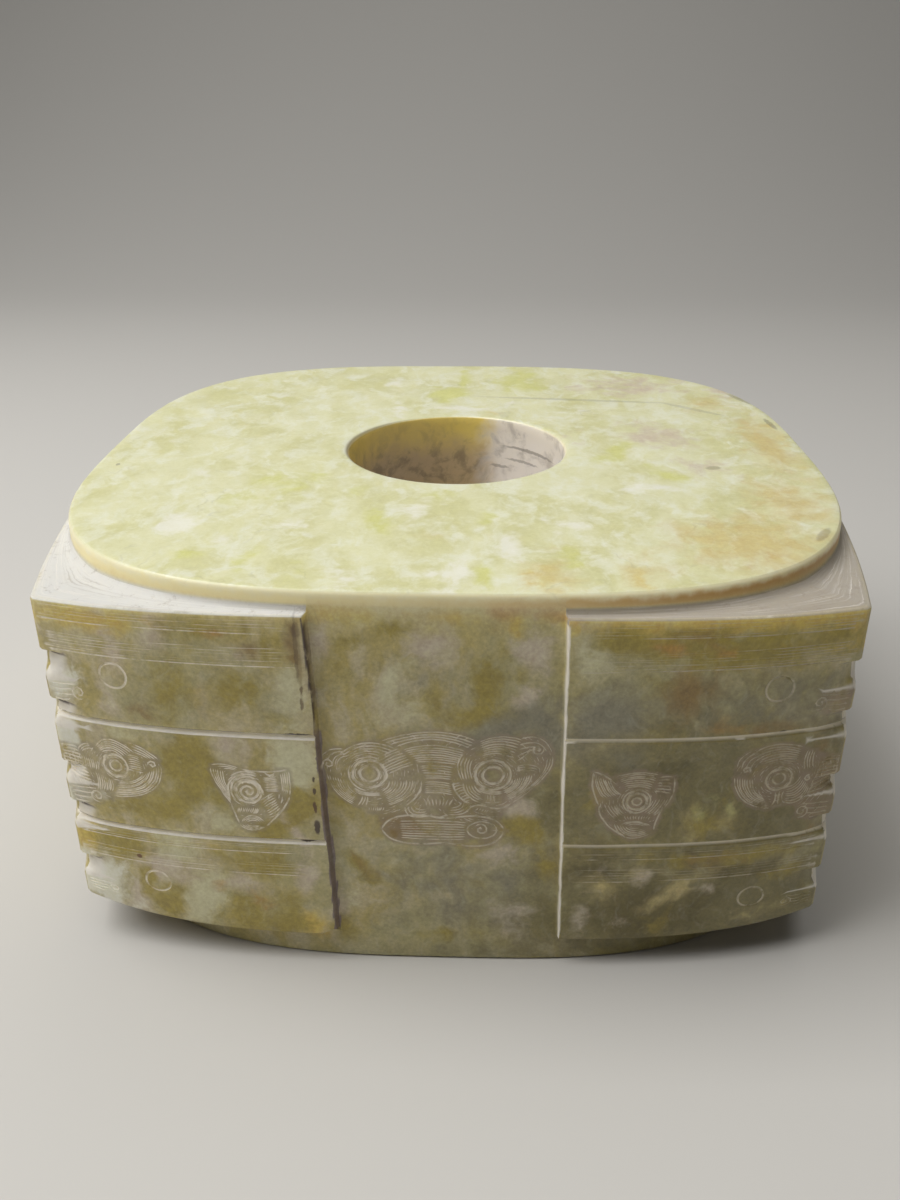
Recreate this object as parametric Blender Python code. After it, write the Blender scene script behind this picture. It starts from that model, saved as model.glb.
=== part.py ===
"""A broad, low cong: one block of jade, a rounded-square tube with four raised corner blocks.

The frame: metres, +Z up, the origin under the middle of the foot. The front is towards -Y.
Every side is laid out the same way: "along" runs to the right as that side is faced, and "out"
is the distance from the middle of the object to the surface.
"""

import math

import bmesh
import bpy
from mathutils import Matrix, Vector

# The collar: the rounded-square tube that shows above and below the corner blocks.
COLLAR_HALF_WIDTH = 0.0877
COLLAR_HALF_DEPTH = 0.0858
COLLAR_SQUARENESS = 3.1
TOP_COLLAR_HEIGHT = 0.0042
FOOT_COLLAR_HEIGHT = 0.0072
RIM_ROUNDING = 0.0011

# The bore, drilled from both ends to a low ridge at the middle.
BORE_MOUTH_RADIUS = 0.0272
BORE_WAIST_RADIUS = 0.0245
BORE_RIDGE_HEIGHT = 0.0022
BORE_RIDGE_RELIEF = 0.0008
BORE_LIP = 0.0008

# The corner blocks: along X and along Y, the corner edges stand out from the collar by the stand.
# The faces swell between them, until at a side's middle they would be proud of it by the step.
CORNER_STAND = 0.0102
FRONT_STEP = 0.0015
FRONT_SWELL_POWER = 3.5
SIDE_STEP = 0.0011
SIDE_SWELL_POWER = 2.0
EDGE_ROUNDING = 0.0005
CORNER_BLUNTING = 0.0003
LEDGE_FILLET = 0.0016
LEDGE_FALL = 0.0007
FOOT_LIFT = 0.0042
FOOT_LIFT_POWER = 4

# The plain band down the middle of each side, between the blocks. It leans a little.
BAND_LEFT_TOP = 0.0263
BAND_LEFT_FOOT = 0.0233
BAND_RIGHT_TOP = 0.0226
BAND_RIGHT_FOOT = 0.0243
BAND_WALL_RUN = 0.0015

# The three registers of each block, from the top: a header, an eye notch, a nose bar and a seam.
TOP_HEADER = 0.0120
TOP_NOTCH = 0.0052
TOP_NOSE = 0.0058
TOP_SEAM = 0.0035
MIDDLE_HEADER = 0.0116
MIDDLE_NOTCH = 0.0039
MIDDLE_NOSE = 0.0060
MIDDLE_SEAM = 0.0041
LOW_HEADER = 0.0101
LOW_NOTCH = 0.0049
LOW_NOSE = 0.0102
NOTCH_DEPTH = 0.0011
NOTCH_LENGTH = 0.0070
NOTCH_RUNOUT_POWER = 1.4
NOTCH_STEP = 0.0004
BROW_FALL = 0.0028
SEAM_GROOVE_DEPTH = 0.0006
SEAM_GROOVE_HALF_WIDTH = 0.0006

# How much of the notch's depth is left at the top of a nose bar, and above and below a seam.
NOSE_TOP_SHARE = 0.2
SEAM_TOP_SHARE = 0.8
SEAM_SHARE = 0.7
BROW_TOP_SHARE = 0.55
NOSE_ROUNDING_SHARE = 0.3

# The fillet on the ledge: (share of the ledge out from the collar, share of the fillet's rise).
FILLET_STATIONS = ((0.16, 0.30), (0.45, 0.03))

# The carved lines: their half width, and where each figure stands on a side.
LINE_HALF_WIDTH = 0.00042
EYE_ALONG = 0.0640
EYE_RADIUS = 0.0027
TOP_EYE_DROP = 0.0161
LOW_EYE_DROP = 0.0145
BEAST_EYE_ALONG = 0.0666
BEAST_EYE_DROP = 0.0107
BEAST_EYE_RADIUS = 0.0024
BEAST_EYE_HALF_LENGTH = 0.0086
BEAST_EYE_HALF_HEIGHT = 0.0069
BIRD_ALONG = 0.0387
BIRD_DROP = 0.0136
BIRD_EYE_RADIUS = 0.0026
BIRD_HALF_WIDTH = 0.0080
BIRD_HALF_HEIGHT = 0.0082
MASK_ALONG = -0.0028
MASK_DROP = 0.0094
MASK_EYE_SPACING = 0.0122
MASK_EYE_RADIUS = 0.0034
MASK_PUPIL_RADIUS = 0.0019
MASK_LID_HALF_LENGTH = 0.0082
MASK_LID_HALF_HEIGHT = 0.0074
MASK_NOSE_HALF_WIDTH = 0.0048
MASK_NOSE_DROP = 0.0094
MASK_MOUTH_HALF_WIDTH = 0.0120
MASK_MOUTH_HALF_HEIGHT = 0.0029
MASK_MOUTH_DROP = 0.0138

# The lines' shapes, as shares of each figure's own sizes, and how many corners its line has.
RING_CORNERS = 8
PUPIL_CORNERS = 6
LID_CORNERS = 10
LID_NARROWING = 0.45
BEAST_LID_TILT = 0.20
MASK_LID_TILT = 0.35
MOUTH_CORNERS = 8
MOUTH_END_POWER = 0.7
NOSE_TOP = 0.15
NOSE_BRIDGE_WIDTH = 0.45
NOSE_WAIST_WIDTH = 0.50
NOSE_WAIST = 0.65
NOSTRIL_LEVEL = 0.90
BIRD_CORNERS = (
    (-1.0, 0.72),
    (-0.35, 0.50),
    (0.35, 0.56),
    (1.0, 0.76),
    (0.98, 0.05),
    (0.62, -0.50),
    (0.05, -1.05),
    (-0.70, -0.45),
)

JADE_COLOUR = (0.42, 0.38, 0.15, 1.0)
JADE_ROUGHNESS = 0.38

SIDES = 4
BAND_COLUMNS = 3
FACE_COLUMNS = 3
CORNER_STATIONS = (0.0, 0.15, 0.5)
SMOOTH_ANGLE = math.radians(25)
FLAT_ANGLE = math.radians(0.6)
WELD = 0.000001

# Heights that follow from the registers.
FOOT_LEVEL = FOOT_COLLAR_HEIGHT
LOW_SEAM_LEVEL = FOOT_LEVEL + LOW_NOSE + LOW_NOTCH + LOW_HEADER
TOP_SEAM_LEVEL = LOW_SEAM_LEVEL + MIDDLE_SEAM + MIDDLE_NOSE + MIDDLE_NOTCH + MIDDLE_HEADER
LEDGE_LEVEL = TOP_SEAM_LEVEL + TOP_SEAM + TOP_NOSE + TOP_NOTCH + TOP_HEADER
HEIGHT = LEDGE_LEVEL + TOP_COLLAR_HEIGHT


def clear_scene():
    for old in list(bpy.data.objects):
        bpy.data.objects.remove(old, do_unlink=True)


def new_collection(name):
    collection = bpy.data.collections.new(name)
    bpy.context.scene.collection.children.link(collection)
    return collection


def jade_material():
    material = bpy.data.materials.new("jade")
    material.use_nodes = True
    shader = material.node_tree.nodes["Principled BSDF"]
    shader.inputs["Base Color"].default_value = JADE_COLOUR
    shader.inputs["Roughness"].default_value = JADE_ROUGHNESS
    shader.inputs["Metallic"].default_value = 0.0
    return material


# Outlines, side by side.
def side_sizes(side):
    """(collar reach along the side, collar reach out, step to the blocks, power of their swell)."""
    if side % 2 == 0:
        return COLLAR_HALF_WIDTH, COLLAR_HALF_DEPTH, FRONT_STEP, FRONT_SWELL_POWER
    return COLLAR_HALF_DEPTH, COLLAR_HALF_WIDTH, SIDE_STEP, SIDE_SWELL_POWER


def collar_out(side, slope, inset=0.0):
    """How far out the collar stands in the direction whose along-to-out slope is given."""
    reach_along, reach_out, _, _ = side_sizes(side)
    power = COLLAR_SQUARENESS
    along = abs(slope) / (reach_along - inset)
    out = 1.0 / (reach_out - inset)
    return (along**power + out**power) ** (-1.0 / power)


# Half the width over the corner edges, where a side's slope is 1.
CORNER_HALF_WIDTH = collar_out(0, 1.0) + CORNER_STAND


def corner_share(along):
    """How far along a side a place is, from 0 at its middle to 1 at the corner edge."""
    return abs(along / CORNER_HALF_WIDTH)


def block_out(side, along):
    """How far out a block's face stands at a place along the side."""
    _, collar, step, power = side_sizes(side)
    swell = collar + step - CORNER_HALF_WIDTH
    return CORNER_HALF_WIDTH + swell * (1.0 - corner_share(along) ** power)


def band_edge(hand, height):
    """Where the band ends on the left (-1) or right (+1), at the block's lip."""
    share = height / HEIGHT
    if hand < 0:
        return -(BAND_LEFT_FOOT + (BAND_LEFT_TOP - BAND_LEFT_FOOT) * share)
    return BAND_RIGHT_FOOT + (BAND_RIGHT_TOP - BAND_RIGHT_FOOT) * share


def place(side, along, out, height):
    """The point of the object for a place on one of its four sides."""
    turn = Matrix.Rotation(side * math.tau / SIDES, 3, "Z")
    return turn @ Vector((along, -out, height))


# Columns run round the object and rows run over it, from the bore out and down and back.
def column_stations(side, height):
    """(slope, along, on_block) of each column of one side at a height, from corner to corner."""
    stations = []
    for hand in (-1, 1):
        lip = band_edge(hand, height)
        inner = hand * (CORNER_HALF_WIDTH - NOTCH_LENGTH)
        half = [hand * (CORNER_HALF_WIDTH - share * NOTCH_LENGTH) for share in CORNER_STATIONS]
        half += [inner + (lip - inner) * k / FACE_COLUMNS for k in range(FACE_COLUMNS + 1)]
        half = [(along / block_out(side, along), along, True) for along in half]
        foot = lip - hand * BAND_WALL_RUN
        half.append((foot / block_out(side, lip), foot, False))
        stations.append(half)
    left, right = stations
    first, last = left[-1], right[-1]
    middle = []
    for k in range(1, BAND_COLUMNS):
        share = k / BAND_COLUMNS
        slope = first[0] + (last[0] - first[0]) * share
        along = first[1] + (last[1] - first[1]) * share
        middle.append((slope, along, False))
    return left + middle + right[:0:-1]


def notch_share(along):
    """How much of a notch's depth is cut at a place along the side: all of it at the corner."""
    run = (CORNER_HALF_WIDTH - abs(along)) / NOTCH_LENGTH
    return max(0.0, 1.0 - run) ** NOTCH_RUNOUT_POWER


def register_rows(top, header, notch, nose, seam, first):
    """(height, notch depth, groove depth) down one register's side."""
    rows = []
    if not first:
        rows.append((top - SEAM_GROOVE_HALF_WIDTH, BROW_TOP_SHARE * NOTCH_DEPTH, 0.0))
        rows.append((top - BROW_FALL, 0.0, 0.0))
    header_end = top - header
    rows.append((header_end, 0.0, 0.0))
    rows.append((header_end - NOTCH_STEP, NOTCH_DEPTH, 0.0))
    nose_top = header_end - notch
    rows.append((nose_top, NOSE_TOP_SHARE * NOTCH_DEPTH, 0.0))
    rows.append((nose_top - NOSE_ROUNDING_SHARE * nose, 0.0, 0.0))
    if seam:
        nose_end = nose_top - nose
        rows.append((nose_end, 0.0, 0.0))
        rows.append((nose_end - NOTCH_STEP, NOTCH_DEPTH, 0.0))
        seam_level = nose_end - seam
        rows.append((seam_level + SEAM_GROOVE_HALF_WIDTH, SEAM_TOP_SHARE * NOTCH_DEPTH, 0.0))
        rows.append((seam_level, SEAM_SHARE * NOTCH_DEPTH, SEAM_GROOVE_DEPTH))
    return rows


def block_rows():
    """(height, notch depth, groove depth) of each row down the blocks' faces."""
    rows = [(LEDGE_LEVEL - EDGE_ROUNDING, 0.0, 0.0)]
    rows += register_rows(LEDGE_LEVEL, TOP_HEADER, TOP_NOTCH, TOP_NOSE, TOP_SEAM, True)
    rows += register_rows(
        TOP_SEAM_LEVEL, MIDDLE_HEADER, MIDDLE_NOTCH, MIDDLE_NOSE, MIDDLE_SEAM, False
    )
    rows += register_rows(LOW_SEAM_LEVEL, LOW_HEADER, LOW_NOTCH, LOW_NOSE, 0.0, False)
    rows.append((FOOT_LEVEL + EDGE_ROUNDING, 0.0, 0.0))
    return rows


def settled_height(height, along):
    """A block's level height, with the fall of its ledge and the lift of its foot at the corner."""
    near_top = max(0.0, (height - LEDGE_LEVEL + TOP_HEADER) / TOP_HEADER)
    near_foot = max(0.0, (FOOT_LEVEL + LOW_NOSE - height) / LOW_NOSE)
    fall = LEDGE_FALL * near_top * corner_share(along) ** 2
    lift = FOOT_LIFT * near_foot * corner_share(along) ** FOOT_LIFT_POWER
    return height - fall + lift


def bore_row(radius, height):
    def point(side, slope, along, on_block):
        length = math.hypot(slope, 1.0)
        return place(side, radius * slope / length, radius / length, height)

    return height, point


def collar_row(height, inset=0.0):
    def point(side, slope, along, on_block):
        out = collar_out(side, slope, inset)
        return place(side, slope * out, out, height)

    return height, point


def shelf_row(level, from_collar, rise):
    """A row across a ledge: from_collar is 0 at the collar's wall and 1 at the block's edge."""

    def point(side, slope, along, on_block):
        collar = collar_out(side, slope)
        block = block_out(side, along) - EDGE_ROUNDING if on_block else collar
        out = collar + (block - collar) * from_collar
        height = settled_height(level, along) if on_block else level
        return place(side, slope * out, out, height + rise)

    return level, point


def side_row(height, notch, groove):
    def point(side, slope, along, on_block):
        if not on_block:
            out = collar_out(side, slope)
            return place(side, slope * out, out, height)
        out = block_out(side, along) - groove - notch * notch_share(along)
        if corner_share(along) == 1.0:
            out -= CORNER_BLUNTING
        return place(side, slope * out, out, settled_height(height, along))

    return height, point


def all_rows():
    """Every row of the skin as (height, point function), once round the section of the tube."""
    middle = HEIGHT / 2
    rim = RIM_ROUNDING
    rows = [
        bore_row(BORE_WAIST_RADIUS, middle + BORE_RIDGE_HEIGHT),
        bore_row(BORE_MOUTH_RADIUS, HEIGHT - BORE_LIP),
        bore_row(BORE_MOUTH_RADIUS + BORE_LIP, HEIGHT),
        collar_row(HEIGHT, inset=rim),
        collar_row(HEIGHT - rim),
        shelf_row(LEDGE_LEVEL, 0.0, LEDGE_FILLET),
    ]
    rows += [shelf_row(LEDGE_LEVEL, out, rise * LEDGE_FILLET) for out, rise in FILLET_STATIONS]
    rows.append(shelf_row(LEDGE_LEVEL, 1.0, 0.0))
    rows += [side_row(*row) for row in block_rows()]
    rows += [
        shelf_row(FOOT_LEVEL, 1.0, 0.0),
        shelf_row(FOOT_LEVEL, 0.0, -EDGE_ROUNDING),
        collar_row(rim),
        collar_row(0.0, inset=rim),
        bore_row(BORE_MOUTH_RADIUS + BORE_LIP, 0.0),
        bore_row(BORE_MOUTH_RADIUS, BORE_LIP),
        bore_row(BORE_WAIST_RADIUS, middle - BORE_RIDGE_HEIGHT),
        bore_row(BORE_WAIST_RADIUS - BORE_RIDGE_RELIEF, middle),
    ]
    return rows


def cong_body(collection, material):
    """A grid wrapped both ways: round the object by its columns, and over it by its rows."""
    rows = all_rows()
    columns = [
        (side, index)
        for side in range(SIDES)
        for index in range(len(column_stations(side, HEIGHT)))
    ]
    body = bmesh.new()
    bmesh.ops.create_grid(body, x_segments=len(columns), y_segments=len(rows), size=0.5)
    body.verts.ensure_lookup_table()
    across = len(columns) + 1
    for number, vert in enumerate(body.verts):
        height, point = rows[(number // across) % len(rows)]
        side, index = columns[(number % across) % len(columns)]
        slope, along, on_block = column_stations(side, height)[index]
        vert.co = point(side, slope, along, on_block)
    bmesh.ops.remove_doubles(body, verts=body.verts, dist=WELD)
    bmesh.ops.recalc_face_normals(body, faces=body.faces)
    mesh = bpy.data.meshes.new("jade_cong")
    body.to_mesh(mesh)
    body.free()
    mesh.materials.append(material)
    cong = bpy.data.objects.new("jade_cong", mesh)
    collection.objects.link(cong)
    return cong


# The carved figures, each a closed line of (along, height) points on a side.
def ring(along, height, radius, count=RING_CORNERS):
    return [
        (
            along + radius * math.cos(math.tau * k / count),
            height + radius * math.sin(math.tau * k / count),
        )
        for k in range(count)
    ]


def egg(along, height, half_length, half_height, point_to, tilt):
    """A closed lid line: an oval drawn out to a point on the side that point_to gives."""
    line = []
    for k in range(LID_CORNERS):
        turn = math.tau * k / LID_CORNERS
        reach = math.cos(turn)
        narrowing = 1.0 - LID_NARROWING * max(0.0, reach) ** 2
        x = point_to * half_length * reach
        z = half_height * math.sin(turn) * narrowing + tilt * half_height * max(0.0, reach)
        line.append((along + x, height + z))
    return line


def bird_outline(along, height, hand):
    """A shield with two upper corners and a beak below."""
    return [
        (along - hand * across * BIRD_HALF_WIDTH, height + up * BIRD_HALF_HEIGHT)
        for across, up in BIRD_CORNERS
    ]


def mouth_outline(along, height):
    line = []
    for k in range(MOUTH_CORNERS):
        turn = math.tau * k / MOUTH_CORNERS
        flat = abs(math.cos(turn)) ** MOUTH_END_POWER * math.copysign(1.0, math.cos(turn))
        line.append(
            (
                along + MASK_MOUTH_HALF_WIDTH * flat,
                height + MASK_MOUTH_HALF_HEIGHT * math.sin(turn),
            )
        )
    return line


def nose_outline(along, height):
    """A bridge that widens down to the nostrils."""
    half = MASK_NOSE_HALF_WIDTH
    top = height - NOSE_TOP * MASK_NOSE_DROP
    waist = height - NOSE_WAIST * MASK_NOSE_DROP
    nostril = height - NOSTRIL_LEVEL * MASK_NOSE_DROP
    return [
        (along - NOSE_BRIDGE_WIDTH * half, top),
        (along + NOSE_BRIDGE_WIDTH * half, top),
        (along + NOSE_WAIST_WIDTH * half, waist),
        (along + half, nostril),
        (along, height - MASK_NOSE_DROP),
        (along - half, nostril),
        (along - NOSE_WAIST_WIDTH * half, waist),
    ]


def block_figures():
    """The lines carved on the blocks of one side."""
    lines = []
    for hand in (-1, 1):
        eye = hand * EYE_ALONG
        lines.append(ring(eye, LEDGE_LEVEL - TOP_EYE_DROP, EYE_RADIUS))
        lines.append(ring(eye, LOW_SEAM_LEVEL - LOW_EYE_DROP, EYE_RADIUS))
        beast = hand * BEAST_EYE_ALONG
        height = TOP_SEAM_LEVEL - BEAST_EYE_DROP
        lines.append(ring(beast, height, BEAST_EYE_RADIUS))
        lines.append(
            egg(
                beast,
                height,
                BEAST_EYE_HALF_LENGTH,
                BEAST_EYE_HALF_HEIGHT,
                -hand,
                BEAST_LID_TILT,
            )
        )
        bird = hand * BIRD_ALONG
        height = TOP_SEAM_LEVEL - BIRD_DROP
        lines.append(ring(bird, height, BIRD_EYE_RADIUS))
        lines.append(bird_outline(bird, height, hand))
    return lines


def band_figures():
    """The lines of the mask on one side's band."""
    height = TOP_SEAM_LEVEL - MASK_DROP
    lines = []
    for hand in (-1, 1):
        eye = MASK_ALONG + hand * MASK_EYE_SPACING
        lines.append(ring(eye, height, MASK_PUPIL_RADIUS, PUPIL_CORNERS))
        lines.append(ring(eye, height, MASK_EYE_RADIUS))
        lines.append(
            egg(
                eye,
                height,
                MASK_LID_HALF_LENGTH,
                MASK_LID_HALF_HEIGHT,
                hand,
                MASK_LID_TILT,
            )
        )
    lines.append(nose_outline(MASK_ALONG, height))
    lines.append(mouth_outline(MASK_ALONG, height - MASK_MOUTH_DROP))
    return lines


def band_out(side, along):
    reach_along, reach_out, _, _ = side_sizes(side)
    power = COLLAR_SQUARENESS
    return reach_out * (1.0 - abs(along / reach_along) ** power) ** (1.0 / power)


def carving_cutter(collection):
    """All the carved lines as one mesh of thin closed tubes that lie on the surface."""
    curve = bpy.data.curves.new("carved_lines", "CURVE")
    curve.dimensions = "3D"
    curve.bevel_depth = LINE_HALF_WIDTH
    curve.bevel_resolution = 0
    for side in range(SIDES):
        lines = [(line, block_out) for line in block_figures()]
        lines += [(line, band_out) for line in band_figures()]
        for line, surface_out in lines:
            spline = curve.splines.new("POLY")
            spline.points.add(len(line) - 1)
            for point, (along, height) in zip(spline.points, line):
                spot = place(side, along, surface_out(side, along), height)
                point.co = (*spot, 1.0)
            spline.use_cyclic_u = True
    guide = bpy.data.objects.new("carved_lines", curve)
    collection.objects.link(guide)
    bpy.context.view_layer.update()
    evaluated = guide.evaluated_get(bpy.context.evaluated_depsgraph_get())
    mesh = bpy.data.meshes.new_from_object(evaluated)
    lines_mesh = bmesh.new()
    lines_mesh.from_mesh(mesh)
    bmesh.ops.remove_doubles(lines_mesh, verts=lines_mesh.verts, dist=WELD)
    bmesh.ops.recalc_face_normals(lines_mesh, faces=lines_mesh.faces)
    lines_mesh.to_mesh(mesh)
    lines_mesh.free()
    cutter = bpy.data.objects.new("carving_cutter", mesh)
    cutter.matrix_world = guide.matrix_world
    bpy.data.objects.remove(guide)
    collection.objects.link(cutter)
    cutter.hide_render = True
    cutter.display_type = "WIRE"
    return cutter


def carve(cong, cutter):
    flatten = cong.modifiers.new("join_flat_faces", "DECIMATE")
    flatten.decimate_type = "DISSOLVE"
    flatten.angle_limit = FLAT_ANGLE
    split = cong.modifiers.new("triangulate", "TRIANGULATE")
    split.min_vertices = 4
    cut = cong.modifiers.new("carved_lines", "BOOLEAN")
    cut.operation = "DIFFERENCE"
    cut.solver = "EXACT"
    cut.object = cutter


def main():
    clear_scene()
    cong_collection = new_collection("jade_cong")
    cutters = new_collection("cutters")
    cong = cong_body(cong_collection, jade_material())
    carve(cong, carving_cutter(cutters))
    cong.data.shade_smooth()
    cong.data.set_sharp_from_angle(angle=SMOOTH_ANGLE)


main()
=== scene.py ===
"""Looks for the jade cong: one carved stone on a plain pale floor under soft light.

The stone is built in millimetres on the same outlines as its solid and scaled to metres once, at
the end. Each side is laid out flat: "along" runs to the right as that side is faced, "height" runs
up, and "out" is the distance from the bore's axis to the surface.
"""

import logging
import math
import random
from collections.abc import Callable
from dataclasses import dataclass, field
from enum import Enum

import bmesh
import bpy
from mathutils import Matrix, Vector, kdtree, noise
from mathutils.geometry import delaunay_2d_cdt


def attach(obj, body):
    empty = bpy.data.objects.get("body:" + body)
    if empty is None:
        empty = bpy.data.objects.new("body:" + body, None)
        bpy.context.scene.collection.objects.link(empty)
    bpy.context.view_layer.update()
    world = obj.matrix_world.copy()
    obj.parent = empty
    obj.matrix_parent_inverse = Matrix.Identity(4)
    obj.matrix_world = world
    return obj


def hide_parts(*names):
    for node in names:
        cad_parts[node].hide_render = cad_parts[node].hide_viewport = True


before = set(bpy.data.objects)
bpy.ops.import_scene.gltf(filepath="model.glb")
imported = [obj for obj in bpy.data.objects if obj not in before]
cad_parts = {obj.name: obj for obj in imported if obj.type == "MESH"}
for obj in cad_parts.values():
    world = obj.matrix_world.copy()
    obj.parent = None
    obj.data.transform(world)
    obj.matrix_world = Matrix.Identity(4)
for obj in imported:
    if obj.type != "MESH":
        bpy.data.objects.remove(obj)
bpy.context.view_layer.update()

log = logging.getLogger("cong")

Point = tuple[float, float]
Point3 = tuple[float, float, float]
Line = list[Point]
Rows = tuple[tuple[float, ...], ...]

MILLIMETRE = 0.001
SIDES = 4
WELD = 0.0004
SEAM_OFFSETS = (0.5, 0.25, -0.6)
SEAM_GUARDS = (0.75, -0.85)
SHARP_ANGLE = math.radians(26)
# The noise starts from the clock when its seed is 0.
NOISE_SEED = 1


class Hand(Enum):
    """The left or right half of a side, as it is faced."""

    LEFT = -1
    RIGHT = 1

    def of(self, pair: tuple) -> object:
        """This hand's one of a pair, left and right."""
        return pair[0 if self is Hand.LEFT else 1]


class Ground(Enum):
    """What a place on a side belongs to."""

    BLOCK = "block"
    WALL = "wall"
    BAND = "band"


def mix(first: float, last: float, share: float) -> float:
    """The value that lies the given share of the way from first to last."""
    return first + (last - first) * share


def clamp(value: float) -> float:
    """The value held between 0 and 1."""
    return max(0.0, min(1.0, value))


def wander(seed: float, place: float, reach: float) -> float:
    """A smooth waver of about the given reach, as a hand-held tool leaves along a line."""
    return reach * noise.noise(Vector((place, seed * 7.31, 0.37)))


def quarter(degrees: float) -> Point:
    """How far a quarter round has come up and in after a turn, as shares of its radius."""
    return math.sin(math.radians(degrees)), 1.0 - math.cos(math.radians(degrees))


def tree_of(places: list[Point]) -> kdtree.KDTree:
    """A look-up tree of flat places.

    Args:
        places: the places, along and height.

    Returns:
        The tree, which numbers them in their order.
    """
    tree = kdtree.KDTree(len(places))
    for number, place in enumerate(places):
        tree.insert((place[0], place[1], 0.0), number)
    tree.balance()
    return tree


@dataclass(frozen=True)
class Steps:
    """A curve given by a few rising places and their values, with straight runs between them."""

    places: tuple[Point, ...]

    def at(self, place: float) -> float:
        """The curve's value at a place.

        Args:
            place: a place that isn't before the first one.

        Returns:
            The value.
        """
        for low, high in zip(self.places, self.places[1:]):
            if place <= high[0]:
                return mix(low[1], high[1], (place - low[0]) / (high[0] - low[0]))
        return self.places[-1][1]


@dataclass(frozen=True)
class Register:
    """The heights of one of the three tiers of a block, from the top down, in millimetres."""

    header: float
    notch: float
    nose: float
    seam: float


@dataclass(frozen=True)
class CongSizes:
    """The stone's sizes in millimetres, the same as its solid's.

    The pairs of the collar, the faces and the swell are for the front and the side. Those of the
    band and its wall are for the left and the right hand, and the band's are at its foot and top.
    The corner's wear is its depth and reach, and the foot's curl its rise, start and reach.
    """

    collar_reach: Point = (87.7, 85.8)
    collar_squareness: float = 3.1
    rim_rounding: float = 0.85
    rim_drop: float = 1.2
    height: float = 88.7
    ledge: float = 84.5
    foot: float = 7.2
    corner_stand: float = 10.2
    face_step: Point = (1.5, 1.1)
    swell_power: Point = (3.5, 2.0)
    edge_rounding: float = 0.6
    corner_wear: Point = (0.32, 0.9)
    ledge_fillet: float = 1.6
    ledge_fall: float = 0.7
    foot_lift: float = 4.2
    foot_curl: Point3 = (1.5, 24.0, 3.4)
    band: tuple[Point, Point] = ((23.3, 26.3), (24.3, 22.6))
    wall_run: Point = (1.0, 0.75)
    notch_depth: float = 1.1
    notch_length: float = 7.0
    seam_depth: float = 0.55
    seams: Point = (58.0, 32.4)
    bore_mouth: float = 27.2
    bore_waist: float = 24.5
    bore_ridge_half: float = 2.2
    bore_ridge_relief: float = 0.8
    bore_lip: float = 0.8
    registers: tuple[Register, Register, Register] = (
        Register(header=12.0, notch=5.2, nose=5.8, seam=3.5),
        Register(header=11.6, notch=3.9, nose=6.0, seam=4.1),
        Register(header=10.1, notch=4.9, nose=10.2, seam=0.0),
    )


@dataclass(frozen=True)
class Stroke:
    """One carved line on a side: its centre, half its width and its depth, in millimetres."""

    line: Line
    half_width: float = 0.22
    depth: float = 0.17
    rubs: bool = True


def bend(corners: Line, count: int) -> Line:
    """A curve from the first of three places to the last that passes the middle one half way.

    Args:
        corners: the three places.
        count: how many steps the curve has.

    Returns:
        The points of the curve.
    """
    line = []
    for k in range(count + 1):
        t = k / count
        shares = ((1.0 - t) * (1.0 - 2.0 * t), 4.0 * t * (1.0 - t), t * (2.0 * t - 1.0))
        line.append(tuple(sum(s * c[n] for s, c in zip(shares, corners)) for n in (0, 1)))
    return line


def resampled(line: Line, spacing: float) -> Line:
    """The same line with its points evenly spaced, and both ends kept.

    Args:
        line: the points to walk along.
        spacing: the wanted distance between neighbours.

    Returns:
        The new points.
    """
    length = sum(math.dist(a, b) for a, b in zip(line, line[1:]))
    count = max(2, round(length / spacing))
    step = length / count
    result = [line[0]]
    walked = 0.0
    target = step
    for a, b in zip(line, line[1:]):
        piece = math.dist(a, b)
        while piece > 0 and walked + piece >= target - 1e-9 and len(result) < count:
            share = (target - walked) / piece
            result.append((mix(a[0], b[0], share), mix(a[1], b[1], share)))
            target += step
        walked += piece
    result.append(line[-1])
    return result


def is_closed(line: Line) -> bool:
    """Whether a line ends where it starts."""
    return math.dist(line[0], line[-1]) < 1e-6


def beside(line: Line, offset: float) -> Line:
    """A line beside another one, meeting it at both ends unless it is closed.

    Args:
        line: the points of the first line.
        offset: how far to its left the new line runs.

    Returns:
        The new line's points.
    """
    closed = is_closed(line)
    before = [line[-2] if closed else line[0], *line[:-1]]
    after = [*line[1:], line[1] if closed else line[-1]]
    result = []
    for number, (last, here, following) in enumerate(zip(before, line, after)):
        if not closed and number in (0, len(line) - 1):
            result.append(here)
            continue
        run = (following[0] - last[0], following[1] - last[1])
        length = math.hypot(*run) or 1.0
        result.append((here[0] - offset * run[1] / length, here[1] + offset * run[0] / length))
    return result


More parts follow.
